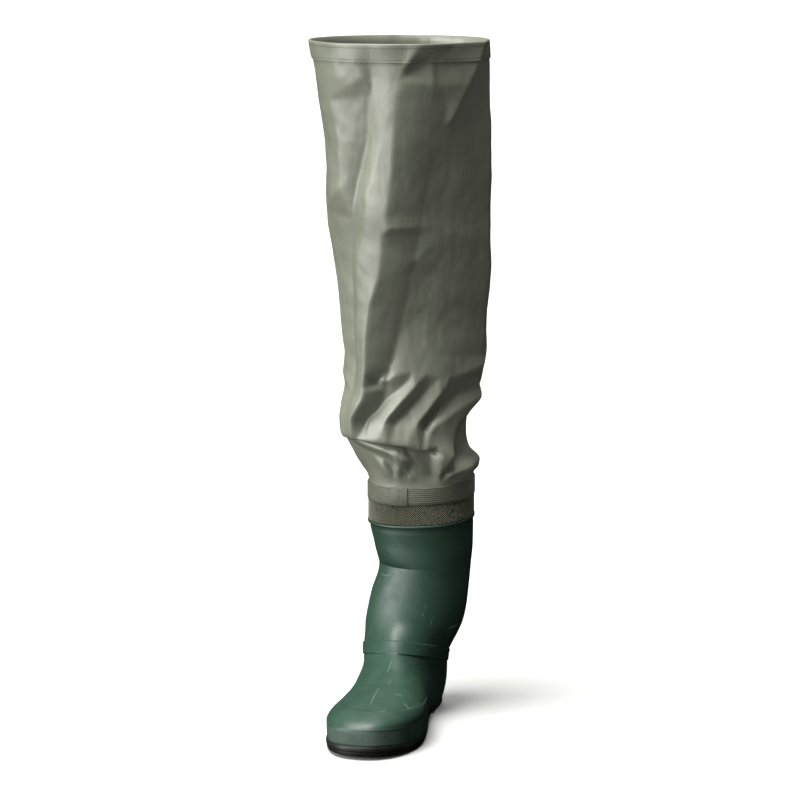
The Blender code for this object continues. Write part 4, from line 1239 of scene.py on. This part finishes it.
def creaseField(shares, columns):
    # triangles between the creases' points, read off on the leg's grid
    look = legLook
    turnScale = look["width"] / 2 * math.pi / 180
    reach = 260  # degrees either way, so that the triangles close round the back
    points, lifts = [], []
    for line in creases.values():
        for (turnA, heightA, liftA), (turnB, heightB, liftB) in zip(line[:-1], line[1:]):
            length = math.hypot((turnB - turnA) * turnScale, (heightB - heightA) * look["length"])
            count = max(1, round(length / look["sampleStep"]))
            for step in range(count + 1):
                t = step / count
                turn = (turnA + (turnB - turnA) * t + 180) % 360 - 180
                height = heightA + (heightB - heightA) * t
                for shift in (-360, 0, 360):
                    if abs(turn + shift) < reach:
                        points.append(((turn + shift) * turnScale, height * look["length"]))
                        lifts.append(liftA + (liftB - liftA) * t)
    for turn in range(-reach, reach + 1, 20):
        for height in (-0.06, -0.02, 1.06):
            points.append((turn * turnScale, height * look["length"]))
            lifts.append(0.0)
    verts, _, faces, source, _, _ = delaunay_2d_cdt([Vector(p) for p in points], [], [], 0, 1e-5)
    places = np.array([tuple(v) for v in verts])
    heights = np.array([np.mean([lifts[i] for i in ids]) for ids in source])
    across = fromFront(turnsOf(columns)) * turnScale
    up = shares * look["length"]
    field = np.zeros((len(shares), columns))
    order = np.argsort(across)
    sortedAcross = across[order]
    for face in faces:
        a, b, c = places[list(face)]
        area = (b[0] - a[0]) * (c[1] - a[1]) - (c[0] - a[0]) * (b[1] - a[1])
        if abs(area) < 1e-12:
            continue
        low, high = np.minimum(np.minimum(a, b), c), np.maximum(np.maximum(a, b), c)
        first = np.searchsorted(sortedAcross, low[0])
        last = np.searchsorted(sortedAcross, high[0], side="right")
        cols = order[first:last]
        rows = np.arange(np.searchsorted(up, low[1]), np.searchsorted(up, high[1], side="right"))
        if not len(cols) or not len(rows):
            continue
        x, y = np.meshgrid(across[cols], up[rows])
        partB = ((x - a[0]) * (c[1] - a[1]) - (c[0] - a[0]) * (y - a[1])) / area
        partC = ((b[0] - a[0]) * (y - a[1]) - (x - a[0]) * (b[1] - a[1])) / area
        parts = np.stack([1 - partB - partC, partB, partC])
        value = np.tensordot(heights[list(face)], parts, 1)
        block = field[np.ix_(rows, cols)]
        field[np.ix_(rows, cols)] = np.where((parts >= -1e-9).all(axis=0), value, block)
    return field * 0.001 * look["foldStrength"]


def legShares():
    look = legLook
    hemFoot = 1 - look["hem"] / look["length"]
    return np.unique(np.concatenate([np.linspace(look["foot"], 1.0, look["rows"]), [hemFoot]]))


def legGrid():
    look = legLook
    columns = look["columns"]
    shares = legShares()
    turns = turnsOf(columns)
    degrees = fromFront(turns)

    def ramp(values, ends):
        return np.clip((values - ends[0]) / (ends[1] - ends[0]), 0, 1)

    def noise(cells):
        return latticeNoise(len(shares), columns, *cells)

    up = shares[:, None]
    lift = softened(creaseField(shares, columns), look["softening"])
    lift *= 1 - look["hemCalm"] * ramp(up, look["hemCalmReach"])
    # one flat face from the shin's ridge round to the inner side
    ridgeTurns, ridgeHeights = zip(*[(a, b) for a, b, _ in creases["shinRidge"][::-1]])
    ridge = np.interp(shares, ridgeHeights, ridgeTurns)[:, None]
    acrossFace = np.clip((degrees[None, :] - ridge) / (look["faceEnd"] - ridge), 0, 1)
    lift -= look["faceDepth"] * smooth(shares, faceRows, 1)[:, None] * np.sin(math.pi * acrossFace)
    lift += look["wander"] * noise(look["wanderCells"]) + look["ripple"] * noise(look["rippleCells"])
    nearTape = (1 - ramp(up, look["gatherReach"])) ** look["gatherFade"]
    lift += look["gather"] * nearTape * noise(look["gatherCells"])
    lift *= ramp(up, look["foldsStart"])
    side, depth, inward, backward = (smooth(shares, legRows, i)[:, None] * look["width"]
                                     for i in (1, 2, 3, 4))
    x = inward + (side + lift) * np.sin(turns)[None, :]
    y = backward - (depth + lift) * np.cos(turns)[None, :]
    bandsHeight = collarLook["height"] + collarLook["tapeHeight"] + 2 * form["gap"]
    z = form["bootHeight"] + bandsHeight + up * look["length"] + 0 * x
    # the blouse's edge drops over the fold below it
    lipTurns, lipHeights = zip(*[(a, b) for a, b, _ in creases["lip"]])
    lipHeight = np.interp(degrees, lipTurns, lipHeights)
    outerEnd, innerEnd = look["lapEnds"]
    lipReach = ramp(degrees, outerEnd) * (1 - ramp(degrees, innerEnd))
    over = (up - lipHeight[None, :]) * look["length"] / look["lapTall"]
    z -= look["lapDrop"] * ease(lipReach)[None, :] * np.exp(-over ** 2)
    loose = np.stack([x, y, z], axis=2)
    tight = np.repeat(rimRing(0.0, bandsHeight, columns)[None], len(shares), axis=0)
    tight[:, :, 2] += up * look["length"]
    grip = 1 - ramp(shares, look["grip"])[:, None, None]
    return tight * grip + loose * (1 - grip)


def makeLeg(cloth, outer):
    look = legLook
    normals = gridNormals(outer)
    for row in (0, 1, -2, -1):
        normals[row] = flatNormals(outer[row])
    depth = np.full(len(outer), look["innerDepth"])
    depth[legShares() < look["thinBelow"]] = collarLook["clothWall"]
    inner = outer - depth[:, None, None] * normals
    keep = sorted(set(range(0, len(outer), look["innerEvery"])) | {len(outer) - 1})
    leg = shellPiece("legCloth", np.concatenate([outer, inner[keep][::-1]]), cloth)
    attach(leg, "root")
    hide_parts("leg")
    return leg


# Plain hem at the top

hemLook = {
    "wall": 0.0010,
    "sharpAngle": 60,
    "rowStitches": (0.0035, 0.0165),
    "stitch": {"Pitch": 0.0036, "Stitch": 0.0024, "Thread": 0.0006},
}


def makeHem(cloth, thread, outer, stitches):
    look = hemLook
    gap, wall = form["gap"], look["wall"]
    back = legLook["innerDepth"] + gap
    foot = np.argmin(np.abs(legShares() - (1 - legLook["hem"] / legLook["length"])))
    low, high = outer[foot], outer[-1]
    rings = [pushed(low, gap * 2)]
    rings += [pushed(ring, gap + wall) for ring in outer[foot:]]
    rings += [pushed(high, out, rise) for out, rise in (
        (gap + wall * 0.7, gap + wall * 0.7), (gap, gap + wall), (-back, gap + wall),
        (-(back + wall * 0.8), gap + wall * 0.5))]
    rings += [pushed(low + (high - low) * share, -(back + wall)) for share in (0.66, 0.33, 0.0)]
    rings += [pushed(low, -back), pushed(high, -back, gap), pushed(high, gap, gap)]
    hem = shellPiece("turnedHem", rings, cloth, look["sharpAngle"])
    paths = []
    for rise in look["rowStitches"]:
        row = foot + (len(outer) - 1 - foot) * rise / legLook["hem"]
        below = int(row)
        ring = outer[below] + (outer[below + 1] - outer[below]) * (row - below)
        paths.append(pushed(ring, gap + wall))
    sewing = runTree(pathsPiece("hemStitches", paths, True), stitches, {**look["stitch"], "Finish": thread})
    joined(hem, [sewing])
    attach(hem, "root")
    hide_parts("top_hem")
    return hem


# Floor, light and camera

floorLook = {
    "colour": "#b9b9b6",
    "second": "#bdbdba",
    "roughness": 0.8,
    "specular": 0.2,
    "mottle": (0.7, 2.0),
    "span": (0.0, 1.0, 1.0),
    "reach": 40.0,
}
stageLook = {
    "world": "#ffffff",
    "worldStrength": 0.29,
    # each light: turn from the front, height, both in degrees, strength, softness in degrees, glossy or not
    "keyLight": (-36.0, 74.0, 6.3, 36.0, True),
    "sideLight": (-50.0, 8.0, 6.2, 58.0, True),
    "backLight": (190.0, 30.0, 2.6, 60.0, False),
}
cameraLook = {
    "turn": 16.0,
    "distance": 4.0,
    "height": 1.0,
    "sideways": -0.018,
    "tilt": 8.97,
    "lens": 154.35,
}


def makeFloor():
    material = newMaterial("mattPaleFloor", floorLook)[0]
    reach = floorLook["reach"]
    corners = [(-reach, -reach, 0), (reach, -reach, 0), (reach, reach, 0), (-reach, reach, 0)]
    floor = newPiece("floor", corners, (), [(0, 1, 2, 3)], [material])
    floor.visible_diffuse = False  # the floor throws no light up at the object
    floor.visible_glossy = False  # and isn't mirrored in it


def makeSun(name, turn, height, strength, softness, glossy):
    light = bpy.data.lights.new(name, "SUN")
    light.energy = strength
    light.angle = math.radians(softness)
    lamp = bpy.data.objects.new(name, light)
    turn, height = math.radians(turn), math.radians(height)
    source = Vector((math.sin(turn) * math.cos(height), -math.cos(turn) * math.cos(height), math.sin(height)))
    lamp.rotation_euler = source.to_track_quat("Z", "Y").to_euler()
    lamp.location = source * 3
    lamp.visible_glossy = glossy
    bpy.context.scene.collection.objects.link(lamp)


def makeLight():
    look = stageLook
    for name in ("keyLight", "sideLight", "backLight"):
        makeSun(name, *look[name])
    world = bpy.data.worlds.new("paleStudio")
    world.use_nodes = True
    sky = world.node_tree.nodes["Background"]
    sky.inputs["Color"].default_value = linearColour(look["world"])
    sky.inputs["Strength"].default_value = look["worldStrength"]
    bpy.context.scene.world = world
    world.cycles_visibility.glossy = False  # the soft lights alone give the highlights
    bpy.context.scene.view_settings.view_transform = "Standard"


def makeCamera():
    look = cameraLook
    turn = math.radians(look["turn"])
    right = Vector((math.cos(turn), math.sin(turn), 0))
    back = Vector((math.sin(turn), -math.cos(turn), 0))
    lens = bpy.data.cameras.new("photoCamera")
    lens.lens = look["lens"]
    lens.sensor_width = 36.0
    camera = bpy.data.objects.new("photoCamera", lens)
    camera.location = right * look["sideways"] + back * look["distance"] + Vector((0, 0, look["height"]))
    camera.rotation_euler = (math.radians(90 - look["tilt"]), 0, turn)
    bpy.context.scene.collection.objects.link(camera)
    bpy.context.scene.camera = camera


makeCamera()
makeFloor()
makeLight()
print("camera, floor and light are set")

pvc, cloth = mouldedPvc(), coatedNylon()
thread = newMaterial("twistedThread", threadLook)[0]
webbing = newMaterial("dullWovenWebbing", webbingLook)[0]
stitches, ribs, knurls = stitchTree(), ribTree(), knurlTree()
print("materials and node trees are made")

makeUpper(pvc)
makeOutsole(treadRubber())
print("boot upper and outsole are made")

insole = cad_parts["insole"]
insole.data.materials.clear()
insole.data.materials.append(newMaterial("needledFelt", feltLook)[0])
makeCollar(knurledRubber(), knurls)
makeTape(webbing, thread, ribs, stitches)
makeLap(webbing, thread, stitches)
print("collar, tape and its lap are made")

legSurface = legGrid()
leg = makeLeg(cloth, legSurface)
hem = makeHem(cloth, thread, legSurface, stitches)
print("leg and hem are made")
